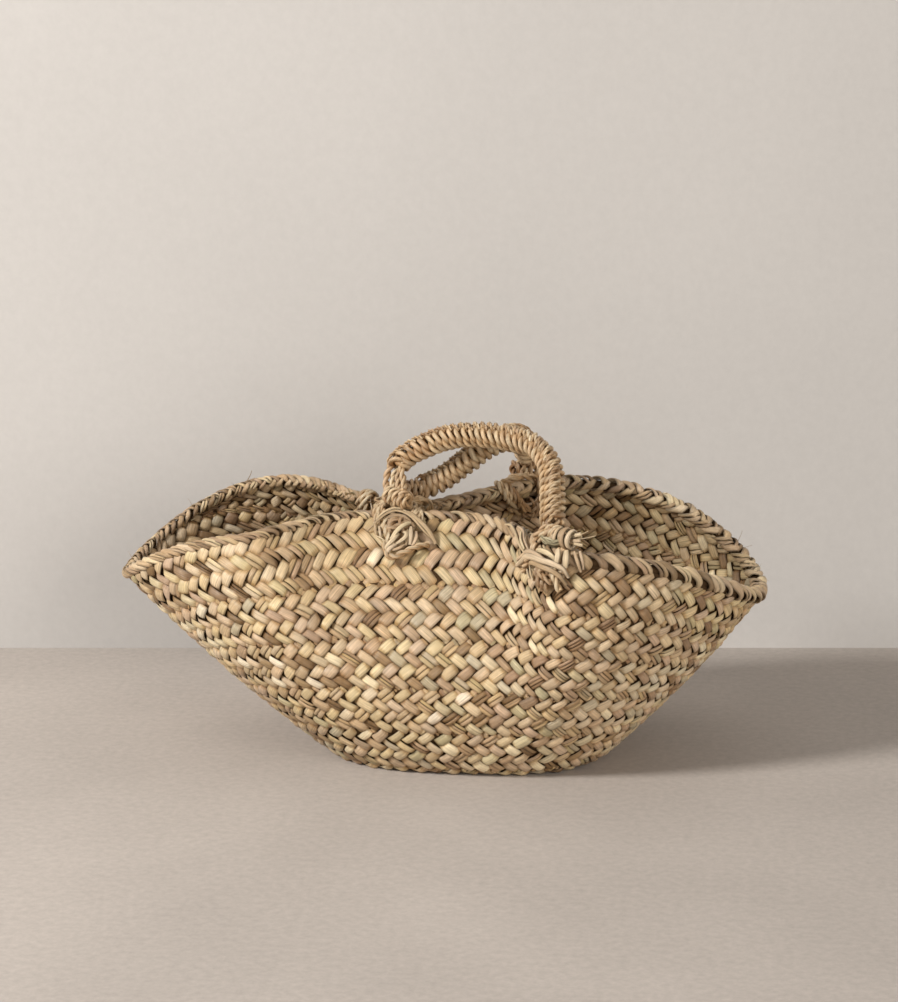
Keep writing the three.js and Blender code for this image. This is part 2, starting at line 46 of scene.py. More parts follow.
MOUTH_LENGTH = 460.0
MOUTH_SHIFT = -22.0
LEFT_FRONT = 90.0
RIGHT_FRONT = 130.0
LEFT_BACK = 112.0
RIGHT_BACK = 90.0
LOBE_MEETING = -35.0
LOBE_BLEND = 45.0
# Each pinch: where along X, its width, its sharpness, and the half neck that it leaves
FRONT_PINCH = (-38.0, 90.0, 4.5, 14.0)
BACK_PINCH = (-48.0, 78.0, 1.9, 8.0)
BACK_FULLNESS = 0.7
RIM_TOP = 170.0
TIP_DROP = 52.0
DROP_SHARPNESS = 3.9
BACK_RISE = 11.0
BASE_HALF = (107.0, 90.0)
BASE_SQUARENESS = 2.7
EDGE_RADIUS = 9.0
WALL_LINE_HEIGHT = 7.0
SIDE_FLARE = 37.0
LEFT_FLARE = 55.0
RIGHT_FLARE = 48.0
BULGE = 0.45
BASE_BANDS = 3
WALL_BANDS = 5
BANDS = BASE_BANDS + WALL_BANDS
FLAT_BANDS = 2.79
THICKNESS = 4.5
CLIMB_FROM = math.radians(105)
CLIMB_TO = math.radians(165)
CLIMB = CLIMB_TO - CLIMB_FROM
RIM_WIDTH = 9.0
RIM_HEIGHT = 11.0
FIT = 0.32
BALL = 8.0
KNOT_HALF = 4.96

# The leaves: how far apart, how many rows each crosses, and how far it rises and dips
TURNS = 7
LEAF_PITCH = 10.4
ROW_STEPS = 8.2
LEAF_POINTS = 34
LEAF_FILL = 0.54
WIDEST_HALF_LEAF = 5.2
SPLIT_SHARE = 0.24
BROWN_SHARE = 0.07
WEAVE = 1.5
TOP_TUCK = 0.17
WEAVE_SHARPNESS = 1.5
rng = np.random.default_rng(41)


def unit(v):
    return v / np.maximum(np.linalg.norm(v, axis=-1, keepdims=True), 1e-9)


def run_along(line):
    return np.concatenate([[0], np.cumsum(np.linalg.norm(np.diff(line, axis=0), axis=1))])


def read_at(place, run, values):
    return np.stack([np.interp(place, run, values[:, k]) for k in range(3)], -1)


def eased(t):
    return t * t * (3 - 2 * t)


# The skin of the basket, the same curves as the solids
def pinched(x, pinch):
    return np.exp(-(np.abs((x - pinch[0]) / pinch[1]) ** pinch[2]))


def rim_point(phi):
    c = np.cos(phi)
    s = np.sin(phi)
    x = MOUTH_SHIFT + MOUTH_LENGTH / 2 * c
    mix = 0.5 + 0.5 * np.tanh((x - LOBE_MEETING) / LOBE_BLEND)
    front_in = pinched(x, FRONT_PINCH)
    back_in = pinched(x, BACK_PINCH)
    front_half = LEFT_FRONT + (RIGHT_FRONT - LEFT_FRONT) * mix
    back_half = LEFT_BACK + (RIGHT_BACK - LEFT_BACK) * mix
    front = front_half * np.abs(s) * (1 - front_in) + FRONT_PINCH[3] * front_in
    back = back_half * np.abs(s) ** BACK_FULLNESS * (1 - back_in) + BACK_PINCH[3] * back_in
    drop = TIP_DROP * np.abs(c) ** DROP_SHARPNESS
    rise = BACK_RISE * np.maximum(s, 0) * (1 - back_in)
    return np.stack([x, np.where(s < 0, -front, back), RIM_TOP - drop + rise], -1)


def skin(phi, band):
    phi, band = np.broadcast_arrays(np.asarray(phi, float), np.asarray(band, float))
    c = np.cos(phi)
    s = np.sin(phi)
    k = 2 / BASE_SQUARENESS
    top = rim_point(phi)
    end_flare = np.where(c < 0, LEFT_FLARE, RIGHT_FLARE)
    flare = np.radians(SIDE_FLARE + (end_flare - SIDE_FLARE) * c * c)
    out = np.stack([c, s, 0 * c], -1)
    slope = out * np.tan(flare)[..., None] + np.array([0, 0, 1.0])
    turn = (math.pi / 2 - flare)[..., None]
    x = BASE_HALF[0] * np.sign(c) * np.abs(c) ** k
    y = BASE_HALF[1] * np.sign(s) * np.abs(s) ** k
    on_line = np.stack([x, y, 0 * c + WALL_LINE_HEIGHT], -1)
    foot = on_line + slope * (EDGE_RADIUS * (1 - np.cos(turn)) - WALL_LINE_HEIGHT)
    bend = on_line + slope * BULGE * (top[..., 2:] - WALL_LINE_HEIGHT)
    wall_top = top - unit(top - bend) * (RIM_HEIGHT + FIT)
    flat_end = foot - out * EDGE_RADIUS * np.sin(turn)
    flat_end[..., 2] = 0
    b = band[..., None]
    e = turn * np.clip((b - FLAT_BANDS) / (BASE_BANDS - FLAT_BANDS), 0, 1)
    edge = flat_end + out * EDGE_RADIUS * np.sin(e)
    edge = edge + np.array([0, 0, EDGE_RADIUS]) * (1 - np.cos(e))
    t = (b - BASE_BANDS) / WALL_BANDS
    wall = (1 - t) ** 2 * foot + 2 * t * (1 - t) * bend + t * t * wall_top
    return np.where(b <= FLAT_BANDS, flat_end * b / FLAT_BANDS, np.where(b <= BASE_BANDS, edge, wall))


def skin_frame(phi, band):
    around = skin(phi + 0.006, band) - skin(phi - 0.006, band)
    rising = unit(skin(phi, band + 0.03) - skin(phi, np.maximum(band - 0.03, 0.02)))
    return skin(phi, band), rising, unit(np.cross(rising, around))


# The plait's track: how far along it is, and between which bands it lies
def climb(theta):
    return eased(np.clip((np.mod(theta, TAU) - (TAU - CLIMB)) / CLIMB, 0, 1))


def into_edge(band):
    return np.minimum(band, BANDS) + TOP_TUCK * eased(np.clip(band - (BANDS - 1), 0, 1))


def plait_edges(theta):
    lap = np.floor(theta / TAU)
    lift = climb(theta)
    low = into_edge(np.where(lap < 0, 1.0, lap + 1 + lift))
    high = into_edge(np.where(lap < 0, 1.0 + lift, lap + 2 + lift))
    return low, np.maximum(high, low + 0.02)


track_theta = np.linspace(-CLIMB * 0.85, TURNS * TAU - 0.12 * CLIMB, 24000)
track_low, track_high = plait_edges(track_theta)
track_run = run_along(skin(track_theta + CLIMB_TO, (track_low + track_high) / 2))
LEAVES = int(track_run[-1] / LEAF_PITCH)
track_count = track_run / track_run[-1] * LEAVES


# Node tree builders
def new_tree(name, sizes):
    tree = bpy.data.node_groups.new(name, "GeometryNodeTree")
    tree.interface.new_socket("Geometry", in_out="INPUT", socket_type="NodeSocketGeometry")
    for label, value in sizes.items():
        kind = "NodeSocketInt" if isinstance(value, int) else "NodeSocketFloat"
        socket = tree.interface.new_socket(label, in_out="INPUT", socket_type=kind)
        socket.default_value = value
    tree.interface.new_socket("Material", in_out="INPUT", socket_type="NodeSocketMaterial")
    tree.interface.new_socket("Geometry", in_out="OUTPUT", socket_type="NodeSocketGeometry")
    return tree, tree.nodes.new("NodeGroupInput").outputs


def put(tree, kind, wires=None, **settings):
    node = tree.nodes.new(kind)
    for key, value in settings.items():
        setattr(node, key, value)
    for key, source in (wires or {}).items():
        if isinstance(source, bpy.types.NodeSocket):
            tree.links.new(source, node.inputs[key])
        else:
            node.inputs[key].default_value = source
    return node


def made(tree, kind, wires=None, **settings):
    return put(tree, kind, wires, **settings).outputs[0]


def named(tree, name, kind="FLOAT"):
    node = put(tree, "GeometryNodeInputNamedAttribute", {"Name": name}, data_type=kind)
    return next(s for s in node.outputs if s.enabled and s.name == "Attribute")


def maths(tree, operation, *values):
    return made(tree, "ShaderNodeMath", dict(enumerate(values)), operation=operation)


def times(tree, a, b):
    return maths(tree, "MULTIPLY", a, b)


def vectors(tree, operation, *values, scale=None):
    wires = dict(enumerate(values))
    if scale is not None:
        wires["Scale"] = scale
    return made(tree, "ShaderNodeVectorMath", wires, operation=operation)


def combine(tree, x, y, z):
    return made(tree, "ShaderNodeCombineXYZ", {"X": x, "Y": y, "Z": z})


def keep(tree, geometry, value, kind="FLOAT"):
    node = tree.nodes.new("GeometryNodeCaptureAttribute")
    node.domain = "POINT"
    node.capture_items.new(kind, "kept")
    tree.links.new(geometry, node.inputs["Geometry"])
    tree.links.new(value, node.inputs["kept"])
    return node.outputs["Geometry"], node.outputs["kept"]


def store(tree, geometry, name, value, kind="FLOAT"):
    wires = {"Geometry": geometry, "Name": name, "Value": value}
    return made(tree, "GeometryNodeStoreNamedAttribute", wires, data_type=kind, domain="POINT")


def position(tree):
    return made(tree, "GeometryNodeInputPosition")


def moved(tree, geometry, **wires):
    return made(tree, "GeometryNodeSetPosition", {"Geometry": geometry, **wires})


def lines_and_run(tree, given):
    lines = made(tree, "GeometryNodeMeshToCurve", {"Mesh": given["Geometry"]})
    wires = {"Curve": lines, "Normal": named(tree, "face", "FLOAT_VECTOR")}
    lines = made(tree, "GeometryNodeSetCurveNormal", wires, mode="FREE")
    return keep(tree, lines, put(tree, "GeometryNodeSplineParameter").outputs["Length"])


def round_section(tree, given, radius):
    ring = made(tree, "GeometryNodeCurvePrimitiveCircle", {"Resolution": given["Sides"], "Radius": radius})
    return ring, put(tree, "ShaderNodeSeparateXYZ", {"Vector": position(tree)}).outputs


def swept(tree, lines, section):
    wires = {"Curve": lines, "Profile Curve": section, "Scale": named(tree, "wide"), "Fill Caps": True}
    return made(tree, "GeometryNodeCurveToMesh", wires)


def finish_tree(tree, geometry, given):
    geometry = made(tree, "GeometryNodeSetShadeSmooth", {"Geometry": geometry, "Shade Smooth": True})
    geometry = made(tree, "GeometryNodeRealizeInstances", {"Geometry": geometry})
    geometry = made(tree, "GeometryNodeSetMaterial", {"Geometry": geometry, "Material": given["Material"]})
    put(tree, "NodeGroupOutput", {"Geometry": geometry})
    return tree


# A tree that sweeps one flat or round leaf section along every line it is given
def leaf_strip_tree():
    tree, given = new_tree("leaf_strips", {"Flatness": 0.12, "Crown": 0.9, "Sides": 8})
    lines, run = lines_and_run(tree, given)
    ring, split = round_section(tree, given, 1.0)
    ring, across = keep(tree, ring, split["Y"])
    thin = times(tree, split["X"], given["Flatness"])
    ring = moved(tree, ring, Position=combine(tree, thin, split["Y"], 0.0))
    strip = swept(tree, lines, ring)
    bow = maths(tree, "SUBTRACT", 1.0, times(tree, across, across))
    bow = times(tree, bow, times(tree, named(tree, "over"), given["Crown"]))
    lift = vectors(tree, "SCALE", named(tree, "face", "FLOAT_VECTOR"), scale=times(tree, bow, MM))
    strip = moved(tree, strip, Offset=lift)
    strip = store(tree, strip, "leaf_spot", combine(tree, across, run, 0.0), "FLOAT_VECTOR")
    # standing: how far the leaf stands out; the materials darken low values as painted crease shade
    strip = store(tree, strip, "standing", maths(tree, "ABSOLUTE", named(tree, "over")))
    return finish_tree(tree, strip, given)


# A tree that lays two twisted plies along every line it is given
def twisted_cord_tree():
    sizes = {"Ply Radius": 0.0015, "Ply Offset": 0.0014, "Lay": 0.02, "Sides": 8}
    tree, given = new_tree("twisted_cords", sizes)
    lines, run = lines_and_run(tree, given)
    tangent = made(tree, "GeometryNodeInputTangent")
    normal = made(tree, "GeometryNodeInputNormal")
    lines, kept_middle = keep(tree, lines, position(tree), "VECTOR")
    lines, kept_normal = keep(tree, lines, normal, "VECTOR")
    side = vectors(tree, "CROSS_PRODUCT", tangent, normal)
    angle = maths(tree, "DIVIDE", times(tree, run, TAU), given["Lay"])
    ring, split = round_section(tree, given, given["Ply Radius"])
    ring, across = keep(tree, ring, maths(tree, "DIVIDE", split["Y"], given["Ply Radius"]))
    joined = put(tree, "GeometryNodeJoinGeometry")
    for ply in (0.0, math.pi):
        turned = maths(tree, "ADD", angle, maths(tree, "ADD", named(tree, "phase"), ply))
        part_n = vectors(tree, "SCALE", normal, scale=maths(tree, "COSINE", turned))
        part_s = vectors(tree, "SCALE", side, scale=maths(tree, "SINE", turned))
        reach = times(tree, given["Ply Offset"], named(tree, "wide"))
        arm = vectors(tree, "SCALE", vectors(tree, "ADD", part_n, part_s), scale=reach)
        wires = {"Curve": moved(tree, lines, Offset=arm)}
        tube = swept(tree, made(tree, "GeometryNodeSetCurveNormal", wires, mode="MINIMUM_TWIST"), ring)
        tube = store(tree, tube, "leaf_spot", combine(tree, across, run, ply), "FLOAT_VECTOR")
        # standing: how far a ply point stands out from the cord's middle; the materials darken its inner
        # side from it as painted shade
        wires = {0: vectors(tree, "SUBTRACT", position(tree), kept_middle), 1: kept_normal}
        proud = put(tree, "ShaderNodeVectorMath", wires, operation="DOT_PRODUCT").outputs["Value"]
        whole = maths(tree, "ADD", given["Ply Offset"], given["Ply Radius"])
        tube = store(tree, tube, "standing", maths(tree, "DIVIDE", proud, whole))
        tree.links.new(tube, joined.inputs["Geometry"])
    return finish_tree(tree, joined.outputs["Geometry"], given)


STRIPS = leaf_strip_tree()
CORDS = twisted_cord_tree()


# What a strip or a cord looks like: its tree and the tree's sizes
def strip_look(flatness, crown, sides, material):
    return STRIPS, {"Flatness": flatness, "Crown": crown, "Sides": sides, "Material": material}


def cord_look(radius, offset, lay, sides, material):
    sizes = {"Ply Radius": radius * MM, "Ply Offset": offset * MM, "Lay": lay * MM}
    return CORDS, {**sizes, "Sides": sides, "Material": material}


def add_object(name, mesh):
    piece = bpy.data.objects.new(name, mesh)
    bpy.context.scene.collection.objects.link(piece)
    return piece


# Lines in millimetres become one plain mesh through a tree
def grow(name, look, lines, body, slot, *nodes):
    tree, sizes = look
    counts = [len(line["at"]) for line in lines]
    points = np.concatenate([line["at"] for line in lines]) + SHIFT
    edges = []
    first = 0
    for count in counts:
        i = np.arange(first, first + count - 1)
        edges.append(np.stack([i, i + 1], 1))
        first += count
    mesh = bpy.data.meshes.new(name + "_lines")
    mesh.from_pydata((points * MM).tolist(), np.concatenate(edges).tolist(), [])
    faces = np.concatenate([line["face"] for line in lines]).astype(np.float32)
    mesh.attributes.new("face", "FLOAT_VECTOR", "POINT").data.foreach_set("vector", faces.ravel())
    for key, usual in (("wide", 1.0), ("over", 0.0), ("tint", 0.5), ("phase", 0.0)):
        values = []
        for line, count in zip(lines, counts):
            values.append(np.broadcast_to(np.asarray(line.get(key, usual), float), (count,)))
        values = np.concatenate(values).astype(np.float32)
        mesh.attributes.new(key, "FLOAT", "POINT").data.foreach_set("value", values)
    source = add_object(name + "_lines", mesh)
    modifier = source.modifiers.new("grow", "NODES")
    modifier.node_group = tree
    for item in tree.interface.items_tree:
        if item.in_out == "INPUT" and item.name in sizes:
            modifier[item.identifier] = sizes[item.name]
    seen = bpy.context.evaluated_depsgraph_get()
    plain = source.evaluated_get(seen)
    plain = bpy.data.meshes.new_from_object(plain, preserve_all_data_layers=True, depsgraph=seen)
    plain.name = name
    piece = add_object(name, plain)
    bpy.data.objects.remove(source, do_unlink=True)
    bpy.data.meshes.remove(mesh)
    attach(piece, body)
    if nodes:
        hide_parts(*nodes)


# Materials
def spread(tree, value, low, high, start=0.3, stop=0.7):
    wires = {"Value": value, "From Min": start, "From Max": stop, "To Min": low, "To Max": high}
    return made(tree, "ShaderNodeMapRange", wires)


def noise(tree, place, scale, detail, roughness=0.5):
    wires = {"Vector": place, "Scale": scale, "Detail": detail, "Roughness": roughness}
    return made(tree, "ShaderNodeTexNoise", wires)


def stored(tree, name, output="Fac"):
    return put(tree, "ShaderNodeAttribute", attribute_name=name).outputs[output]


def new_material(name):
    material = bpy.data.materials.new(name)
    material.use_nodes = True
    return material, material.node_tree, material.node_tree.nodes["Principled BSDF"]


def stretched(tree, places, scales):
    return combine(tree, *[times(tree, place, scale) for place, scale in zip(places, scales)])


# shade sets the painted edge shade; the crease depth sets the painted crease shade
def leaf_material(name, stops, rough=0.37, streak=0.16, shade=0.3, grain=1.0, lift=1.0, crease_shade_depth=0.0,
                  hue=0.0, gloss=0.5):
    material, tree, surface = new_material(name)
    tint = stored(tree, "tint")
    split = put(tree, "ShaderNodeSeparateXYZ", {"Vector": stored(tree, "leaf_spot", "Vector")})
    across = split.outputs["X"]
    places = (across, split.outputs["Y"], tint)
    ramp = put(tree, "ShaderNodeValToRGB", {"Fac": tint})
    ramp.color_ramp.interpolation = "LINEAR"
    bar = ramp.color_ramp.elements
    for element, (place, colour) in zip(bar, (stops[0], stops[-1])):
        element.position = place
        element.color = (*colour, 1)
    for place, colour in stops[1:-1]:
        bar.new(place).color = (*colour, 1)
    fibre = noise(tree, stretched(tree, places, (5.5 * grain, 26.0, 91.0)), 1.6, 5.0, 0.65)
    patch = stretched(tree, places, (0.7, 60.0, 37.0))
    fleck = spread(tree, fibre, 1.0 - streak, 1.0 + streak * 0.7)
    worn = spread(tree, noise(tree, patch, 1.0, 2.0), 0.84, 1.11)
    # painted shade: leaves and plies darken towards their long edges (|across|), standing in for shade
    # between neighbours
    painted_edge_shade = maths(tree, "POWER", maths(tree, "ABSOLUTE", across), 4.5)
    painted_edge_shade = maths(tree, "SUBTRACT", 1.0, times(tree, painted_edge_shade, shade))
    # painted shade: darker where 'standing' is low, where a leaf dives under its neighbour or a ply faces
    # the cord's middle
    painted_crease_shade = spread(tree, stored(tree, "standing"), 1.0 - crease_shade_depth, 1.0, 0.05, 0.98)
    level = times(tree, times(tree, fleck, worn), times(tree, painted_edge_shade, lift))
    # per channel: the painted crease shade, raised to a power so creases turn warmer and darker, times a
    # random hue step from the tint
    channels = []
    for power, shuffle, reach, below in ((0.68, 97.7, 0.1, 0.045), (1.45, 173.3, 0.44, 0.26)):
        step = maths(tree, "FRACT", times(tree, tint, shuffle))
        step = maths(tree, "MULTIPLY_ADD", step, reach * hue, 1 - below * hue)
        channels.append(times(tree, maths(tree, "POWER", painted_crease_shade, power), step))
    colour_with_crease_shade = vectors(tree, "MULTIPLY", ramp.outputs["Color"], combine(tree, channels[0], painted_crease_shade, channels[1]))
    tree.links.new(vectors(tree, "SCALE", colour_with_crease_shade, scale=level), surface.inputs["Base Color"])
    bump = put(tree, "ShaderNodeBump", {"Height": fibre, "Strength": 0.8, "Distance": 0.0009})
    tree.links.new(bump.outputs["Normal"], surface.inputs["Normal"])
    tree.links.new(spread(tree, fibre, rough + 0.08, rough - 0.08), surface.inputs["Roughness"])
    surface.inputs["Specular IOR Level"].default_value = gloss
    return material


PLAIT = leaf_material("plaited_leaf", [
    (0.0, (0.24, 0.14, 0.065)), (0.12, (0.39, 0.255, 0.14)), (0.3, (0.56, 0.395, 0.245)),
    (0.5, (0.64, 0.475, 0.29)), (0.68, (0.72, 0.565, 0.345)), (0.84, (0.49, 0.41, 0.26)),
    (1.0, (0.87, 0.725, 0.50))], streak=0.46, shade=0.6, crease_shade_depth=0.6, lift=1.06, hue=0.45)
EDGE = leaf_material("edge_leaf", [
    (0.0, (0.30, 0.195, 0.11)), (0.3, (0.52, 0.36, 0.215)), (0.6, (0.66, 0.49, 0.30)),
    (1.0, (0.80, 0.65, 0.43))], streak=0.36, shade=0.8, crease_shade_depth=0.3, lift=1.04, hue=0.3)
WOUND = leaf_material("wound_cord", [
    (0.0, (0.34, 0.215, 0.12)), (0.35, (0.56, 0.385, 0.225)), (0.65, (0.70, 0.53, 0.33)),
    (1.0, (0.82, 0.67, 0.45))], streak=0.32, shade=0.45, grain=0.8, crease_shade_depth=0.62, lift=1.14)
TIED = leaf_material("tied_cord", [
    (0.0, (0.40, 0.26, 0.15)), (0.4, (0.62, 0.44, 0.27)), (0.75, (0.74, 0.575, 0.37)),
    (1.0, (0.82, 0.69, 0.49))], streak=0.3, shade=0.45, grain=0.8, crease_shade_depth=0.48, lift=1.1)
TIEDLEAF = leaf_material("strand_leaf", [
    (0.0, (0.33, 0.215, 0.12)), (0.5, (0.62, 0.45, 0.275)), (1.0, (0.82, 0.67, 0.45))],
    streak=0.4, shade=0.8, crease_shade_depth=0.4, lift=1.05, hue=0.3)
GREENLEAF = leaf_material("green_leaf", [
    (0.0, (0.23, 0.185, 0.10)), (0.5, (0.42, 0.36, 0.215)), (1.0, (0.58, 0.50, 0.32))],
    streak=0.3, shade=0.6)
# Near-black, painted shade: the lining under the leaves, the edge bundle and the handle cores show as shadow
# in the gaps
PAINTED_SHADE = leaf_material("painted_shade_leaf", [
    (0.0, (0.06, 0.034, 0.016)), (1.0, (0.10, 0.06, 0.03))], rough=0.85, gloss=0.05)
CORD = cord_look(1.75, 1.55, -18.4, 9, WOUND)
THICK_CORD = cord_look(2.15, 1.35, 18.4, 9, WOUND)
THIN = cord_look(0.78, 0.7, 9, 7, TIED)
LASH = cord_look(1.28, 1.15, 15, 8, TIED)
LEG = cord_look(1.3, 1.2, 15, 9, TIED)
SEWING = cord_look(0.5, 0.42, 7, 6, TIED)


# The leaves of the plait, two slanting families that pass over and under two at a time
def leaf_parts(is_split):
    if not is_split:
        return [(0.0, 1.0)]
    share = rng.uniform(0.38, 0.62)
    if rng.random() < 0.3:
        return [(-0.66, 0.34), (0.02, 0.3), (0.66, 0.36)]
    return [(share - 1.0, share), (share, 1.0 - share)]


def over_under(steps, lean):
    return lean * np.tanh(WEAVE_SHARPNESS * np.cos(math.pi * (steps - 2.5) / 2)) / math.tanh(WEAVE_SHARPNESS)


def plait_leaves():
    steps = np.linspace(-1.35, ROW_STEPS + 0.15, LEAF_POINTS)
    v = (steps + 0.6) / ROW_STEPS
    beyond = np.clip(-v, 0, None) + np.clip(v - 1, 0, None)
    ends = np.clip(beyond / (0.75 / ROW_STEPS), 0, 1)
    swell = 1.2 * np.sin(math.pi * np.clip(v, 0, 1)) - 0.6
    roll_knots = 7
    leaves = []
    for lean in (1, -1):
        leaf = np.arange(-4, LEAVES + 5)
        sway = rng.normal(0, 0.065, len(leaf))
        count = (leaf + sway)[:, None] + lean * steps[None, :] / 2
        theta = np.interp(count, track_count, track_theta)
        low, high = plait_edges(theta)
        band = np.clip(low + (high - low) * v[None, :], 0.03, BANDS + TOP_TUCK + 0.02)
        at, rising, inward = skin_frame(theta + CLIMB_TO, band)
        wave = over_under(steps, lean)[None, :] * (1 + rng.normal(0, 0.14, (len(leaf), 1)))
        wave = wave * (1 - 0.9 * ends[None, :] ** 2)
        on_floor = np.clip((inward[..., 2] - 0.85) / 0.13, 0, 1)
        near_floor = np.clip((inward[..., 2] - 0.35) / 0.4, 0, 1)
        depth = THICKNESS / 2 - WEAVE * wave + 0.55 * ends[None, :] + 1.3 * on_floor
        depth = depth - swell[None, :] * (1 - near_floor)
        line = at + inward * depth[..., None]
        tangent = unit(np.gradient(at, axis=1))
        spacing = np.linalg.norm(np.cross(np.gradient(at, axis=0), tangent), axis=-1)
        half = np.clip(spacing * LEAF_FILL, 0.6, WIDEST_HALF_LEAF)
        half = half * (1.0 + rng.normal(0, 0.09, (len(leaf), 1)))
        half = half * (1 - 0.3 * ends[None, :]) * (0.9 + 0.12 * np.abs(wave))
        on_track = (count.min(axis=1) > 0.2) & (count.max(axis=1) < LEAVES - 0.2)
        tint = np.clip(0.53 + rng.normal(0, 0.25, len(leaf)), 0, 1)
        tint = np.where(rng.random(len(leaf)) < BROWN_SHARE, rng.random(len(leaf)) * 0.25, tint)
        lap = np.floor(theta[:, LEAF_POINTS // 2] / TAU).astype(int)
        sideways = unit(np.cross(tangent, inward))
        knots = rng.normal(0, 0.17, (len(leaf), roll_knots))
        knot_steps = np.linspace(steps[0], steps[-1], roll_knots)
        roll = np.stack([np.interp(steps, knot_steps, row) for row in knots])
        roll = roll * (1 - ends[None, :]) * (1 - 0.85 * near_floor)
        face = -inward + sideways * roll[..., None]
        split = rng.random(len(leaf)) < SPLIT_SHARE
        for i in np.nonzero(on_track)[0]:
            for shift, share in leaf_parts(split[i]):
                place = line[i] + sideways[i] * (half[i] * shift * 0.98)[:, None]
                own_tint = tint[i]
                if share < 1:
                    place = place + inward[i] * rng.uniform(-0.15, 0.25)
                    own_tint = np.clip(own_tint + rng.normal(0, 0.12), 0, 1)
                # standing: the leaf's crown, which bends it and which the material reads as painted crease
                # shade at row ends and dives
                standing = np.clip(wave[i] * 1.3, -1, 1) * (1 - ends) * (0.45 + 0.55 * share)
                leaves.append({"lap": max(int(lap[i]), 0), "at": place, "face": face[i], "over": standing,
                               "wide": half[i] * share * MM, "tint": own_tint})
    return leaves


# Lines through given points, evenly spaced
def smooth_line(points, count):
    points = np.asarray(points, float)
    ends = np.concatenate([[2 * points[0] - points[1]], points, [2 * points[-1] - points[-2]]])
    fine = []
    for i in range(len(points) - 1):
        p0, p1, p2, p3 = ends[i:i + 4]
        a, b, c = [max(np.linalg.norm(q - p) ** 0.5, 1e-4) for p, q in ((p0, p1), (p1, p2), (p2, p3))]
        start = ((p1 - p0) / a - (p2 - p0) / (a + b) + (p2 - p1) / b) * b
        stop = ((p2 - p1) / b - (p3 - p1) / (b + c) + (p3 - p2) / c) * b
        t = np.linspace(0, 1, 41)[:, None][: 41 if i == len(points) - 2 else 40]
        square = 3 * (p2 - p1) - 2 * start - stop
        cube = 2 * (p1 - p2) + start + stop
        fine.append(p1 + start * t + square * t ** 2 + cube * t ** 3)
    fine = np.concatenate(fine)
    run = run_along(fine)
    return read_at(np.linspace(0, run[-1], count), run, fine)


def length_of(line):
    return np.linalg.norm(np.diff(line, axis=0), axis=1).sum()


def level_faces(line, toward):
    t = unit(np.gradient(line, axis=0))
    toward = np.broadcast_to(np.asarray(toward, float), line.shape)
    return unit(toward - (toward * t).sum(1, keepdims=True) * t)


def thread(at, toward, **more):
    return {"at": at, "face": level_faces(at, toward), **more}


def tint_of(dice, middle, scatter):
    return np.clip(dice.normal(middle, scatter), 0, 1)


def cord_draw(dice, thin, thick, middle, scatter):
    wide = dice.uniform(thin, thick)
    phase = dice.uniform(0, TAU)
    return {"wide": wide, "phase": phase, "tint": tint_of(dice, middle, scatter)}


def cord_line(points, toward=(0, 0, 1), step=1.6, **more):
    count = max(int(length_of(smooth_line(points, 60)) / step), 6)
    line = smooth_line(points, count)
    return thread(line, toward, phase=rng.uniform(0, TAU), **more)


# The edge: leaf strips wound over a stiff bundle, met on the inside by a second row
rim_phi = CLIMB_TO + np.linspace(0, TAU, 1441)
top_at, top_rising, top_inward = skin_frame(rim_phi, np.full(rim_phi.shape, float(BANDS)))
rim_centre = top_at + top_rising * (FIT + RIM_HEIGHT / 2) + top_inward * (THICKNESS / 2)
rim_run = run_along(rim_centre)
RIM_LENGTH = rim_run[-1]


def rim_at(run):
    run = np.mod(run, RIM_LENGTH)
    directions = [unit(read_at(run, rim_run, values)) for values in (top_rising, top_inward)]
    return read_at(run, rim_run, rim_centre), *directions


def edge_places():
    tip = np.interp(math.pi, rim_phi, rim_run)
    along = [-230, -60, 60, 200]
    run = 0.0
    while run < RIM_LENGTH - 4:
        x = rim_at(run)[0][0]
        near = np.clip(1.25 - abs(run - tip - 12) / 24, 0, 1)
        step = np.interp(x, along, [6.9, 7.4, 9.8, 10.6]) * (1 - 0.4 * near)
        slant = np.interp(x, along, [14, 14, 11, 10])
        yield run + rng.normal(0, 0.08) * step, near, step / LEAF_PITCH, slant
        run += step


def slimness(centre):
    return np.interp(centre[:, 0], [-230, -70, 40], [0.8, 0.84, 1.0])


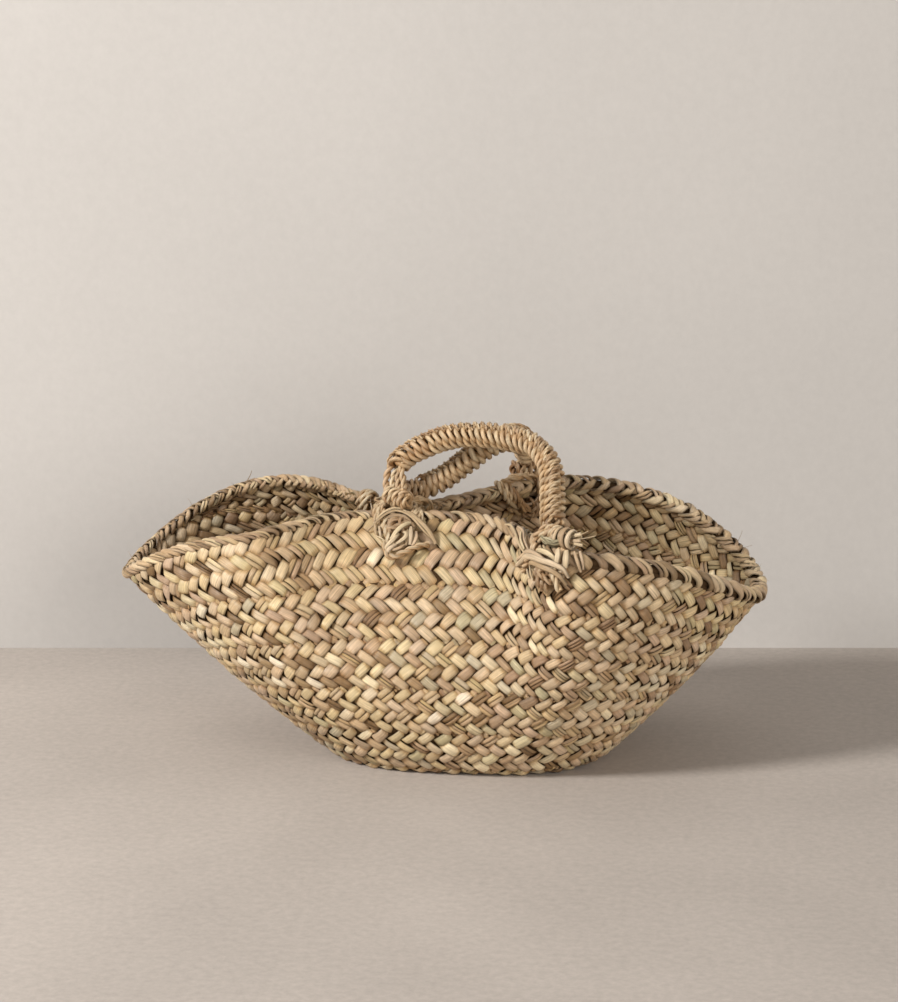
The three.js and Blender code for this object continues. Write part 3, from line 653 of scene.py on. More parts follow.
def edge_strips():
    lines = []
    for place, near, fine, slant in edge_places():
        wild = rng.normal(0, 1, 8)
        tint = np.clip(rng.normal(0.5, 0.24) + 0.3 * near, 0, 1)
        for row in (0, 1):
            t = np.linspace(0, 1, (26, 16)[row])
            bend = t - 0.11 * np.sin(TAU * t)
            if row == 0:
                angle = np.radians(262 - 236 * t + wild[0] * 6)
                run = place - slant * 1.3 * (1 - 0.4 * near) * bend + wild[1] * 0.8 * fine
            else:
                angle = np.radians(80 - 178 * t + wild[2] * 6)
                run = place - slant * 0.55 + 14.0 * fine * bend
            centre, rising, inward = rim_at(run)
            near_start = np.clip((0.12 - t) / 0.12, 0, 1)
            near_stop = np.clip((t - 0.84) / 0.16, 0, 1)
            hug = 1 - 0.4 * near_start ** 1.3 - 0.4 * near_stop ** 1.3
            hug = hug + (0.02, 0.06)[row] + 0.09 * np.sin(math.pi * t) + 0.05 * np.sin(t * 7 + wild[6])
            slim = slimness(centre)
            hug = hug * slim
            at = centre + inward * (3.3 * hug * np.cos(angle))[:, None]
            high = 3.4 * hug * np.sin(angle) * np.where(np.sin(angle) < 0, 1.2, 1.0)
            at = at + rising * (1.4 - 3.0 * (1 - slim) + high)[:, None]
            face = inward * np.cos(angle)[:, None] + rising * np.sin(angle)[:, None]
            side = unit(np.cross(unit(np.gradient(at, axis=0)), face))
            face = face + side * (0.75 * np.sin(t * math.pi * 2 + wild[7]))[:, None]
            usual = np.interp(fine, [0.4, 0.66, 1.0], [1.9, 2.5, 3.9])
            wide = (1.0, 0.9)[row] * (1 + wild[3] * 0.12) * usual
            tapered = 0.5 + 0.5 * np.sin(math.pi * np.clip(t, 0.03, 0.97)) ** 0.5
            wide = wide * (1 - 0.16 * np.exp(-((t - 0.45) / 0.15) ** 2)) * tapered
            shade = np.clip(tint + rng.normal(0, 0.12), 0, 1)
            parts = [(0.0, 1.0)] if wild[5] < 0.5 else [(-0.5, 0.56), (0.5, 0.56)]
            for shift, share in parts:
                place_here = at + side * (wide * shift * 1.05)[:, None]
                lines.append(thread(place_here, face, wide=wide * share * MM, over=fine,
                                    tint=np.clip(shade + shift * 0.2, 0, 1)))
    return lines


def edge_core():
    centre, rising, inward = rim_at(np.linspace(0, RIM_LENGTH * 1.002, 361))
    slim = slimness(centre)
    top = centre + rising * (0.6 - 3.0 * (1 - slim))[:, None]
    low = centre - rising * (2.6 + 3.0 * (1 - slim))[:, None]
    return [{"at": top, "face": inward, "wide": 2.9 * slim * MM, "tint": 0.6},
            {"at": low, "face": inward, "wide": 2.2 * slim * MM, "tint": 0.4}]


# Places beside a handle's root, counted along the edge and up the wall
ROOTS = {"front_left": 263.0, "front_right": 292.0, "back_left": 95.5, "back_right": 76.9}


def edge_run(root, offset):
    turn = np.mod(math.radians(ROOTS[root]) - CLIMB_TO, TAU) + CLIMB_TO
    return np.interp(turn, rim_phi, rim_run) + offset


def band_width(phi):
    return np.linalg.norm(skin(phi, float(BANDS)) - skin(phi, BANDS - 1.0), axis=-1)


# Each row is a place: along the edge, up the wall, out from it
def spots(root, rows):
    offset, height, out = np.asarray(rows, float).T
    phi = np.interp(np.mod(edge_run(root, offset), RIM_LENGTH), rim_run, rim_phi)
    band = BANDS + np.minimum(height, 0) / band_width(phi)
    at, rising, inward = skin_frame(phi, band)
    return at + rising * np.maximum(height, 0)[..., None] - inward * out[..., None]


def knot_place(root, offset, outside):
    out = (KNOT_HALF + FIT + 0.5) if outside else -(THICKNESS + KNOT_HALF + FIT + 0.7)
    steps = ((0, 0), (0, 1), (2, 0), (-2, 0))
    centre, beyond, ahead, behind = spots(root, [(offset + a, -10.0, out + b) for a, b in steps])
    outward = unit(beyond - centre)
    level = unit(ahead - behind)
    return centre, level, unit(np.cross(outward, level)), outward


# A tangle of cord laid round and round a flattened ball
def tangle(centre, axes, sizes, loops, seed, tint):
    dice = np.random.default_rng(seed)
    count = 26
    lines = []
    for i in range(loops):
        pole = unit(dice.normal(0, 1, 3) * np.array([1.0, 1.0, 0.6]))
        side = unit(np.cross(pole, dice.normal(0, 1, 3)))
        other = np.cross(pole, side)
        a = np.linspace(0, TAU * dice.uniform(0.72, 1.05), count) + dice.uniform(0, TAU)
        lift = dice.uniform(-0.45, 0.45)
        flat = math.sqrt(1 - lift * lift)
        ball = (np.cos(a)[:, None] * side + np.sin(a)[:, None] * other) * flat
        ball = ball + pole * (lift + 0.12 * np.sin(2 * a + i))[:, None]
        end = np.minimum(np.arange(count), np.arange(count)[::-1]) / 3.0
        reach = (1 + 0.05 * (i % 3)) * (0.62 + 0.38 * np.clip(end, 0, 1))
        ball = unit(ball) * reach[:, None]
        at = centre + (ball * np.asarray(sizes)) @ axes
        lines.append(thread(at, (ball / np.asarray(sizes)) @ axes, **cord_draw(dice, 0.85, 1.12, tint, 0.2)))
    return lines


LASH_OUT = 2.2


def over_edge(root, offset, way):
    centre, rising, inward = rim_at(edge_run(root, offset))
    ring = []
    for degrees in (-100, -66, -33, 0, 33, 66, 100):
        a = math.radians(degrees)
        across = inward * way * (RIM_WIDTH / 2 + LASH_OUT) * math.sin(a)
        ring.append(centre + across + rising * (RIM_HEIGHT / 2 + LASH_OUT) * math.cos(a))
    return ring


def lashing_lines(root, pairs, knot, outside):
    near = LASH_OUT if outside else -(THICKNESS + LASH_OUT)
    far = -(THICKNESS + LASH_OUT) if outside else LASH_OUT
    way = 1.0 if outside else -1.0
    lines = []

    def from_knot(place):
        return [(knot + (place - knot) * 0.35, -11, near * 1.6), (place * 0.8 + knot * 0.2, -8, near)]

    for start, stop in pairs:
        behind = [(start, -5, far), ((start * 2 + stop) / 3, -10, far), ((start + stop * 2) / 3, -10.5, far),
                  (stop, -5, far)]
        rows = [*spots(root, from_knot(start)), *over_edge(root, start, way), *spots(root, behind)]
        rows += [*over_edge(root, stop, way)[::-1], *spots(root, from_knot(stop)[::-1])]
        centre, rising, inward = rim_at(edge_run(root, (start + stop) / 2))
        wide = rng.uniform(0.9, 1.08)
        cord = cord_line(rows, toward=inward, step=1.5, wide=wide, tint=tint_of(rng, 0.62, 0.18))
        away = cord["at"] - (centre - rising * 5)
        toward = rising * (away @ rising)[:, None] * 0.6 + inward * (away @ inward)[:, None]
        cord["face"] = level_faces(cord["at"], toward)
        lines.append(cord)
    return lines


# Handles: each lies in its own leaning plane above the edge
def handle_plane(roots, lean, shape):
    above = np.array([0, 0, RIM_HEIGHT / 2 + FIT + BALL])
    start, stop = [rim_at(edge_run(root, 0.0))[0] + above for root in roots]
    chord = np.linalg.norm(stop - start)
    way = (stop - start) / chord
    level = unit(np.cross([0, 0, 1.0], way))
    square = np.cross(level, way)
    if square[2] < 0:
        square = -square
    rise = square * math.cos(math.radians(lean)) + level * math.sin(math.radians(lean))
    line = smooth_line([start + way * u * chord + rise * v for u, v in shape], 1201)
    length = length_of(line)
    tangent = unit(np.gradient(line, axis=0))
    across = unit(np.cross(way, rise))
    run = np.linspace(0, length, len(line))
    first = unit(np.cross(unit(stop - start), [0, 0, 1.0]))

    def spot(s):
        s = np.asarray(s, float)
        inside = np.clip(s, 0, length)
        t = unit(read_at(inside, run, tangent))
        return read_at(inside, run, line) + t * (s - inside)[..., None], t, unit(np.cross(across, t))

    def around(s, angle, radius):
        p, t, n = spot(s)
        angle = np.broadcast_to(np.asarray(angle, float), np.shape(s))
        out = n * np.cos(angle)[..., None] + across * np.sin(angle)[..., None]
        return p + out * np.broadcast_to(np.asarray(radius, float), np.shape(s))[..., None], out

    return {"start": start, "stop": stop, "length": length, "spot": spot, "around": around, "across": across,
            "axes": (unit(stop - start), first, np.cross(unit(stop - start), first))}


FRONT = handle_plane(("front_left", "front_right"), 42, [
    (0, 0), (-0.05, 8), (-0.097, 18), (-0.104, 27), (-0.062, 37), (0.03, 48), (0.13, 56), (0.27, 61),
    (0.45, 63), (0.62, 61.5), (0.735, 54.5), (0.815, 44), (0.88, 30), (0.95, 13), (1, 0)])
BACK = handle_plane(("back_left", "back_right"), -40, [
    (0, 0), (0.1, 0.6), (0.2, 3), (0.3, 10), (0.42, 23), (0.55, 36), (0.65, 41), (0.745, 42.5), (0.835, 39),
    (0.905, 31), (0.955, 20), (0.985, 9.5), (1, 0)])
OPEN_LEG = 33.0
WINDING_RADIUS = 5.75
TURN_POINTS = 34
CORE_RADIUS = 4.4
# One hitch over the winding: along it, round it and out from its middle
HITCH = ((-0.95, -0.62, 6.6), (-0.5, -0.34, 8.2), (0.0, -0.02, 8.9), (0.55, 0.26, 8.5), (1.0, 0.5, 6.9))


def drifting(count, every, middle, scatter, clipped=False):
    places = np.arange(0, count, every)
    drawn = rng.normal(middle, scatter, len(places))
    return np.interp(np.arange(count), places, np.clip(drawn, 0, 1) if clipped else drawn)


def wound_cord(handle, start, stop, pitch, ridge_angle):
    turns = int(round((stop - start) / pitch))
    i = np.arange(turns * TURN_POINTS + 1)
    places = np.arange(0, len(i) + TURN_POINTS, TURN_POINTS)
    slow = np.interp(i, places, rng.normal(0, 0.28, turns + 2)[: len(places)])
    s = start + (stop - start) * i / (turns * TURN_POINTS) + slow
    at, out = handle["around"](s, i / TURN_POINTS * TAU, WINDING_RADIUS)
    thick = 1 + drifting(len(i), 19, 0, 0.045)
    wrap = thread(at, out, wide=thick, tint=drifting(len(i), 23, 0.58, 0.17, True))
    hitches = []
    for k in range(turns):
        middle = start + (stop - start) * (k + 0.5) / turns + rng.normal(0, 0.25)
        lean = ridge_angle + rng.normal(0, 0.07)
        rows = [handle["around"](np.array(middle + pitch * u), lean + a, r)[0] for u, a, r in HITCH]
        toward = handle["around"](np.array(middle), lean, 1.0)[1]
        wide = rng.uniform(0.9, 1.1)
        hitches.append(cord_line(rows, toward=toward, step=1.1, wide=wide, tint=tint_of(rng, 0.6, 0.2)))
    return wrap, hitches


def core_line(handle, start, stop):
    s = np.linspace(start, stop, int((stop - start) / 2.5))
    at, out = handle["around"](s, 0.0, 0.0)
    return {"at": at, "face": out, "wide": CORE_RADIUS * MM, "tint": 0.5}


# Round the line through a handle's two ends, beside one of them
def about_end(handle, end, along, angle, reach):
    way, first, second = handle["axes"]
    out = first * np.cos(angle)[:, None] + second * np.sin(angle)[:, None]
    return handle[end] + way * along[:, None] + out * reach[:, None], out


def end_eye(handle, end, places, radius, seed):
    dice = np.random.default_rng(seed)
    lines = []
    for top, bottom in places:
        a = np.linspace(0, TAU * 1.04, 34) + dice.uniform(0, TAU)
        wobble = radius + 0.25 * np.sin(2 * a + dice.uniform(0, TAU))
        along = (top + bottom) / 2 + (bottom - top) / 2 * np.sin(a)
        placed = about_end(handle, end, along, a, wobble)
        lines.append(thread(*placed, **cord_draw(dice, 0.92, 1.06, 0.55, 0.18)))
    return lines


def root_through(root, seed):
    dice = np.random.default_rng(seed)
    out = 4.0 if root.startswith("front") else -8.5
    lines = []
    for lean in (-1.7, 0.2, 1.8):
        rows = [(-13 + lean, -3, out), (-13.5 + lean, 6, out * 0.8), (-11.5 + lean, 14.5, lean * 0.5),
                (-5, 19.4 + 0.3 * lean, lean * 0.8 - 2.2), (5, 19.4 - 0.3 * lean, -lean * 0.8 - 2.2),
                (11.5 + lean, 14.5, lean * 0.5), (13.5 + lean, 6, out * 0.8), (13 + lean, -3, out)]
        wide = dice.uniform(0.92, 1.02)
        lines.append(cord_line(spots(root, rows), wide=wide, tint=tint_of(dice, 0.65, 0.15)))
    return lines


def open_leg():
    s = np.linspace(-1, OPEN_LEG + 3, 28)
    fan = np.interp(s, [-1, 6, 14, 22, 29, OPEN_LEG + 3], [1.0, 1.0, 1.0, 0.92, 0.66, 0.4])
    deep = np.interp(s, [-1, 8, 20, 30, OPEN_LEG + 3], [0, 0.3, 0.8, 2.2, 3.2])
    p, t, n = FRONT["spot"](s)
    lines = []
    for k in range(4):
        sunk = deep * (1 if k in (0, 3) else -1) + 5.6 * np.clip((3 - s) / 4, 0, 1)
        at = p + n * (fan * (k - 1.5) * 4.7)[:, None] + FRONT["across"] * sunk[:, None]
        lines.append(thread(at, FRONT["across"], **cord_draw(rng, 0.95, 1.08, 0.6, 0.15)))
    return lines


def bare_end_cords(handle, start, stop, seed):
    dice = np.random.default_rng(seed)
    s = np.linspace(start, stop, 16)
    radius = np.interp(s, [start, start + 6, stop], [3.2, 4.4, 4.6])
    lines = []
    for k in range(5):
        angle = k * TAU / 5 + 0.35 * np.sin((s - start) / 7 + k)
        lines.append(thread(*handle["around"](s, angle, radius), **cord_draw(dice, 0.95, 1.08, 0.5, 0.18)))
    return lines


# Broad leaf loops, a hank of green leaf and cut leaf ends beside the right-hand eye
def leaf_loops(handle, end, loops, seed):
    dice = np.random.default_rng(seed)
    lines = []
    for top, bottom, radius, wide in loops:
        a = np.linspace(-2.6, 2.4, 30)
        along = (top + bottom) / 2 + (bottom - top) / 2 * np.sin(a) + dice.normal(0, 0.3)
        reach = radius - 1.6 * np.clip(np.abs(a) - 1.6, 0, None)
        wide = wide * MM * (0.75 + 0.25 * np.cos(a * 0.8))
        at, out = about_end(handle, end, along, a, reach)
        lines.append(thread(at, out, wide=wide, over=0.9, tint=tint_of(dice, 0.55, 0.2)))
    return lines


def leaf_hank(handle, end, start, stop, count, seed):
    dice = np.random.default_rng(seed)
    t = np.linspace(0, 1, 18)
    lines = []
    for k in range(count):
        a = 0.1 + 1.0 * (k + dice.uniform(0, 1)) / count + 0.2 * np.sin(t * 5 + dice.uniform(0, TAU))
        reach = dice.uniform(6.6, 8.6) - 3.5 * (t - 0.45) ** 2 * 4
        along = start + dice.normal(0, 1.0) + (stop - start + dice.normal(0, 1.0)) * t
        at, out = about_end(handle, end, along, a, reach)
        wide = dice.uniform(0.5, 0.95) * MM
        lines.append(thread(at, out, wide=wide, over=0.9, tint=dice.uniform(0, 1)))
    return lines


def cut_ends(handle, end, cuts, seed):
    dice = np.random.default_rng(seed)
    way, first, second = handle["axes"]
    t = np.linspace(0, 1, 9)
    lines = []
    for start, stop, ahead, down, wide in cuts:
        at = handle[end] + way * (start + (stop - start) * t)[:, None]
        at = at + first * (ahead * t)[:, None] + second * (down * t + 1.2 * np.sin(3 * t))[:, None]
        lines.append(thread(at, first, wide=wide * MM, over=0.8, tint=dice.uniform(0.5, 1)))
    return lines


front_end = FRONT["length"]
back_end = BACK["length"]
FRONT_CORE = ("front_handle", "handle_core")
BACK_CORE = ("back_handle", "handle_core")
# The handle cores use the near-black painted-shade material, so gaps in the winding read as shadow
BUNDLE = strip_look(1.0, 0.0, 12, PAINTED_SHADE)

for body, handle, look, winding, first in (
        ("front_handle", FRONT, CORD, (OPEN_LEG - 3.5, front_end - 8.5, 6.0, 0.95), OPEN_LEG - 2),
        ("back_handle", BACK, THICK_CORD, (7.5, back_end - 16.0, 5.8, -0.7), 1)):
    wrap, hitches = wound_cord(handle, *winding)
    bundle = core_line(handle, first, handle["length"] - 1)
    grow(body + "_winding", look, [wrap], body, "handle_wrap", body + "_wrap")
    grow(body + "_hitches", THIN, hitches, body, "handle_wrap")
    grow(body + "_bundle", BUNDLE, [bundle], body, "handle_core", body + "_core")

open_nodes = ["front_handle_strand_%d" % k for k in (1, 2, 3, 4)]
grow("front_handle_open_cords", LEG, open_leg(), *FRONT_CORE, *open_nodes)
left_eye = end_eye(FRONT, "start", [(-7, -7.4), (-2.3, -2.6), (2.4, 2.2), (7.1, 7.4)], 5.6, 5)
left_eye += end_eye(FRONT, "start", [(9.2, 9.6)], 3.1, 15)
grow("front_handle_left_eye", LEG, left_eye, *FRONT_CORE, "front_handle_end")
right_eye = end_eye(FRONT, "stop", [(-3, -12.5), (0.5, -8.5), (2, -3.5), (4.5, 1.5), (5, 6)], 5.15, 6)
grow("front_handle_right_eye", LEG, right_eye, *FRONT_CORE)
bare_back = bare_end_cords(BACK, back_end - 21, back_end + 1.5, 21) + bare_end_cords(BACK, 0.5, 10, 22)
grow("back_handle_bare_cords", LEG, bare_back, *BACK_CORE)
bare_front = bare_end_cords(FRONT, front_end - 13, front_end + 1.5, 23)
grow("front_handle_bare_cords", LEG, bare_front, *FRONT_CORE)
broad_loops = leaf_loops(FRONT, "stop", [
    (4.5, 6.0, 5.4, 1.2), (7.8, 7.0, 5.9, 1.5), (10.4, 11.6, 5.5, 1.3), (13.6, 14.6, 6.3, 2.2),
    (19.0, 18.4, 5.8, 2.0)], 12)
grow("front_handle_leaf_loops", strip_look(0.35, 0.8, 10, TIEDLEAF), broad_loops, *FRONT_CORE)
green_hank = leaf_hank(FRONT, "stop", -4.0, 14.0, 16, 13)
grow("front_handle_green_hank", strip_look(0.5, 0.4, 7, GREENLEAF), green_hank, *FRONT_CORE)
ends_out = cut_ends(FRONT, "stop", [
    (4, 27, 1, -5.5, 1.5), (6, 28, 3, -1.5, 1.3), (8, 30, 3, 1.2, 1.2), (2, 25, -2, -3, 1.6),
    (2, 22, 0, 1.5, 1.8), (12, 34, 2, -9, 0.35), (14, 38, -1, -6, 0.3)], 14)
grow("front_handle_cut_ends", strip_look(0.4, 0.3, 8, TIEDLEAF), ends_out, *FRONT_CORE)
back_eyes = end_eye(BACK, "start", [(-5, -6), (-0.5, 0), (4, 5)], 5.7, 7)
back_eyes += end_eye(BACK, "stop", [(-6.5, -7), (-2.2, -2), (2.2, 2), (6.5, 7)], 5.6, 8)
grow("back_handle_eyes", LEG, back_eyes, *BACK_CORE)

# Root knots and lashings on the basket: each row is (along the edge, up the wall, out from it)
KNOTS = {
    "front_left": [
        [(-8, -2, 5), (-8.3, -10, 6.5), (-7.3, -16, 7), (-6.4, -22, 6), (-7, -27, 4)],
        [(-10, -22, 4), (-8.6, -27, 6), (-8.2, -32, 6), (-5.7, -35, 6.5), (-2, -36, 7.5), (2.3, -34, 8.5),
         (6.5, -31.5, 8.5), (10.8, -29, 8), (15.6, -25, 6), (22, -20.5, 2.5)],
    ],
    "front_right": [
        [(-12, 5, 4), (-16, 0, 6), (-24, -4, 5), (-33, -9, 3), (-42, -13, 2)],
        [(-2, 6, 5), (-5, 2, 7.5), (-14, 0, 7), (-24, -7, 5), (-38, -17, 2)],
        [(12, 6, 5), (10, 1, 7), (9.5, -7, 6.5), (11, -15, 3.5)],
    ],
    "back_left": [
        [(14, 8, -9), (20, -3, -11), (28, -10, -13), (35, -5, -11), (34, 3, -9)],
        [(38, 4, -9), (33, -8, -12), (25, -14, -12), (19, -8, -12), (24, -2, -12), (31, -6, -14)],
        [(-8, 12, -4), (-4, 4, -9), (4, -4, -10), (12, -8, -10), (20, -12, -10)],
        [(2, 12, -6), (6, 3, -10), (12, -3, -11), (19, -5, -11), (26, -12, -12)],
    ],
    "back_right": [
        [(-12, 12, -5), (-9, 2, -10), (-4, -6, -12), (4, -9, -13), (10, -4, -12), (8, 4, -10)],
        [(10, 12, -5), (8, 0, -11), (2, -10, -13), (-6, -14, -11), (-12, -8, -10), (-8, 0, -11)],
        [(-16, -12, -7), (-8, -16, -9), (2, -15, -10), (12, -15, -9), (20, -10, -7)],
    ],
}
for root, offset, outside, pairs in (
        ("front_left", 0.0, True, [(-13, 13), (-10, 10.5)]),
        ("front_right", 0.0, True, [(-13, 14), (-10, 11)]),
        ("back_left", 26.0, False, [(38, 14), (41.5, 17.5), (34.5, 11)]),
        ("back_right", 0.0, False, [(-15, 15), (-11.5, 12), (-18, 18.5)])):
    centre, level, rising, outward = knot_place(root, offset, outside)
    # The tangle's cords get a low tint (0.12), painted shade beneath the root cords
    knot = tangle(centre, np.stack([level, rising, outward]), (7.6, 7.6, 4.0), 4, sum(map(ord, root)), 0.12)
    paler = 0.3 if root == "front_left" else 0
    for rows in KNOTS[root]:
        wide = rng.uniform(0.98, 1.12)
        tint = np.clip(rng.normal(0.6, 0.18) + paler, 0, 1)
        knot.append(cord_line(spots(root, rows), toward=outward, wide=wide, tint=tint))
    grow(root + "_knot_cords", LASH, knot, "basket", "root_cord", root + "_knot")
    lashing = lashing_lines(root, pairs, offset, outside) + root_through(root, len(root))
    grow(root + "_lashing_cords", LASH, lashing, "basket", "root_cord", root + "_lashing")

grow("edge_winding", strip_look(0.36, 0.9, 10, EDGE), edge_strips(), "basket", "rim_plait", "rim_cord")
# The edge bundle uses the near-black painted-shade material, so the holes between the winding strips read as
# shadow
grow("edge_bundle", strip_look(1.0, 0.0, 10, PAINTED_SHADE), edge_core(), "basket", "rim_plait")


# The sewing cord between one turn of plait and the next, seen on the inside
def seam_line(seam):
    first = -CLIMB * 0.8 if seam == 1 else 0.0
    last = TAU if seam < BANDS - 1 else TAU - 0.45 * CLIMB
    theta = np.linspace(first, last, int(160 + 60 * seam))
    band = seam + climb(theta) * (theta > 0) if seam > 1 else np.where(theta < 0, 1.0, 1 + climb(theta))
    at, rising, inward = skin_frame(theta + CLIMB_TO, np.minimum(band, BANDS - 0.02))
    at = at + inward * (3.2 + 0.25 * np.sin(theta * 37 + seam))[:, None]
    return thread(at, inward, wide=1.0, tint=0.15)


for seam in range(1, BANDS):
    grow("sewing_%d" % seam, SEWING, [seam_line(seam)], "basket", "sewing_cord", "seam_cord_%d" % seam)


# The start of the plait, closed up flat in the middle of the base
def start_leaves():
    steps = np.linspace(0.9, ROW_STEPS - 0.4, 22)
    v = np.maximum(np.clip((steps + 0.6) / ROW_STEPS, 0, 1), 0.06)
    count = 14
    lines = []
    for lean in (1, -1):
        for i in range(count):
            phi = (i + lean * steps / 2) / count * TAU + rng.normal(0, 0.02)
            at, rising, inward = skin_frame(phi, v)
            wave = np.clip(lean * np.cos(math.pi * (steps - 2.5) / 2) * 1.15, -1, 1)
            at = at + inward * (THICKNESS / 2 + 0.6 - 0.95 * wave)[:, None]
            room = np.linalg.norm(skin(phi, v)[:, :2], axis=1) * TAU / count
            wide = np.clip(room * 0.42, 0.7, 4.2) * MM
            tint = tint_of(rng, 0.5, 0.2)
            lines.append({"at": at, "face": -inward, "wide": wide, "over": wave, "tint": tint})
    return lines


centre_look = strip_look(0.085, 0.85, 8, PLAIT)
grow("base_centre_leaves", centre_look, start_leaves(), "basket", "plait", "base_centre")


# The leaves' under layers, as one thin lining within the plait, coloured near-black as painted shade in the
# gaps
def shade_lining():
    points = []
    faces = []
    across = np.linspace(0.0, 1.0, 6)
    for lap in range(-1, TURNS):
        if lap < 0:
            theta = np.linspace(0, TAU, 61)
            low = np.full(61, 0.04)
            high = np.full(61, 1.0)
        else:
            first = -CLIMB * 0.85 if lap == 0 else lap * TAU
            last = (lap + 1) * TAU if lap < TURNS - 1 else TURNS * TAU - 0.15 * CLIMB
            theta = np.linspace(first, last, 121)
            low, high = plait_edges(np.minimum(theta, (lap + 1) * TAU - 1e-6))
        rings = []
        for depth, order in ((2.05, across), (2.45, across[::-1])):
            for v in order:
                at, rising, inward = skin_frame(theta + CLIMB_TO, low + (high - low) * v)
                rings.append(at + inward * depth)
        ring = np.stack(rings, 1)
        base = len(points)
        points.extend(((ring.reshape(-1, 3) + SHIFT) * MM).tolist())
        n = ring.shape[1]
        for i in range(len(theta) - 1):
            here = base + i * n
            for s in range(n):
                t = (s + 1) % n
                faces.append((here + s, here + n + s, here + n + t, here + t))
        last_ring = base + (len(theta) - 1) * n
        faces.append(tuple(base + s for s in range(n)))
        faces.append(tuple(last_ring + s for s in range(n - 1, -1, -1)))
    mesh = bpy.data.meshes.new("plait_shade_lining")
    mesh.from_pydata(points, [], faces)
    mesh.materials.append(PAINTED_SHADE)
    piece = add_object("plait_shade_lining", mesh)
    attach(piece, "basket")


shade_lining()


# Leaf strands that arch over the roots: each is half its width, its tint and its places
def strand(root, wide, tint, rows):
    points = spots(root, rows)
    line = smooth_line(points, max(int(length_of(points) / 1.4), 8))
    centre, rising, inward = rim_at(edge_run(root, rows[len(rows) // 2][0]))
    tapered = 0.5 + 0.5 * np.sin(math.pi * np.clip(np.linspace(0, 1, len(line)), 0.06, 0.94)) ** 0.5
    return thread(line, -inward, wide=wide * MM * tapered, over=0.9, tint=tint)


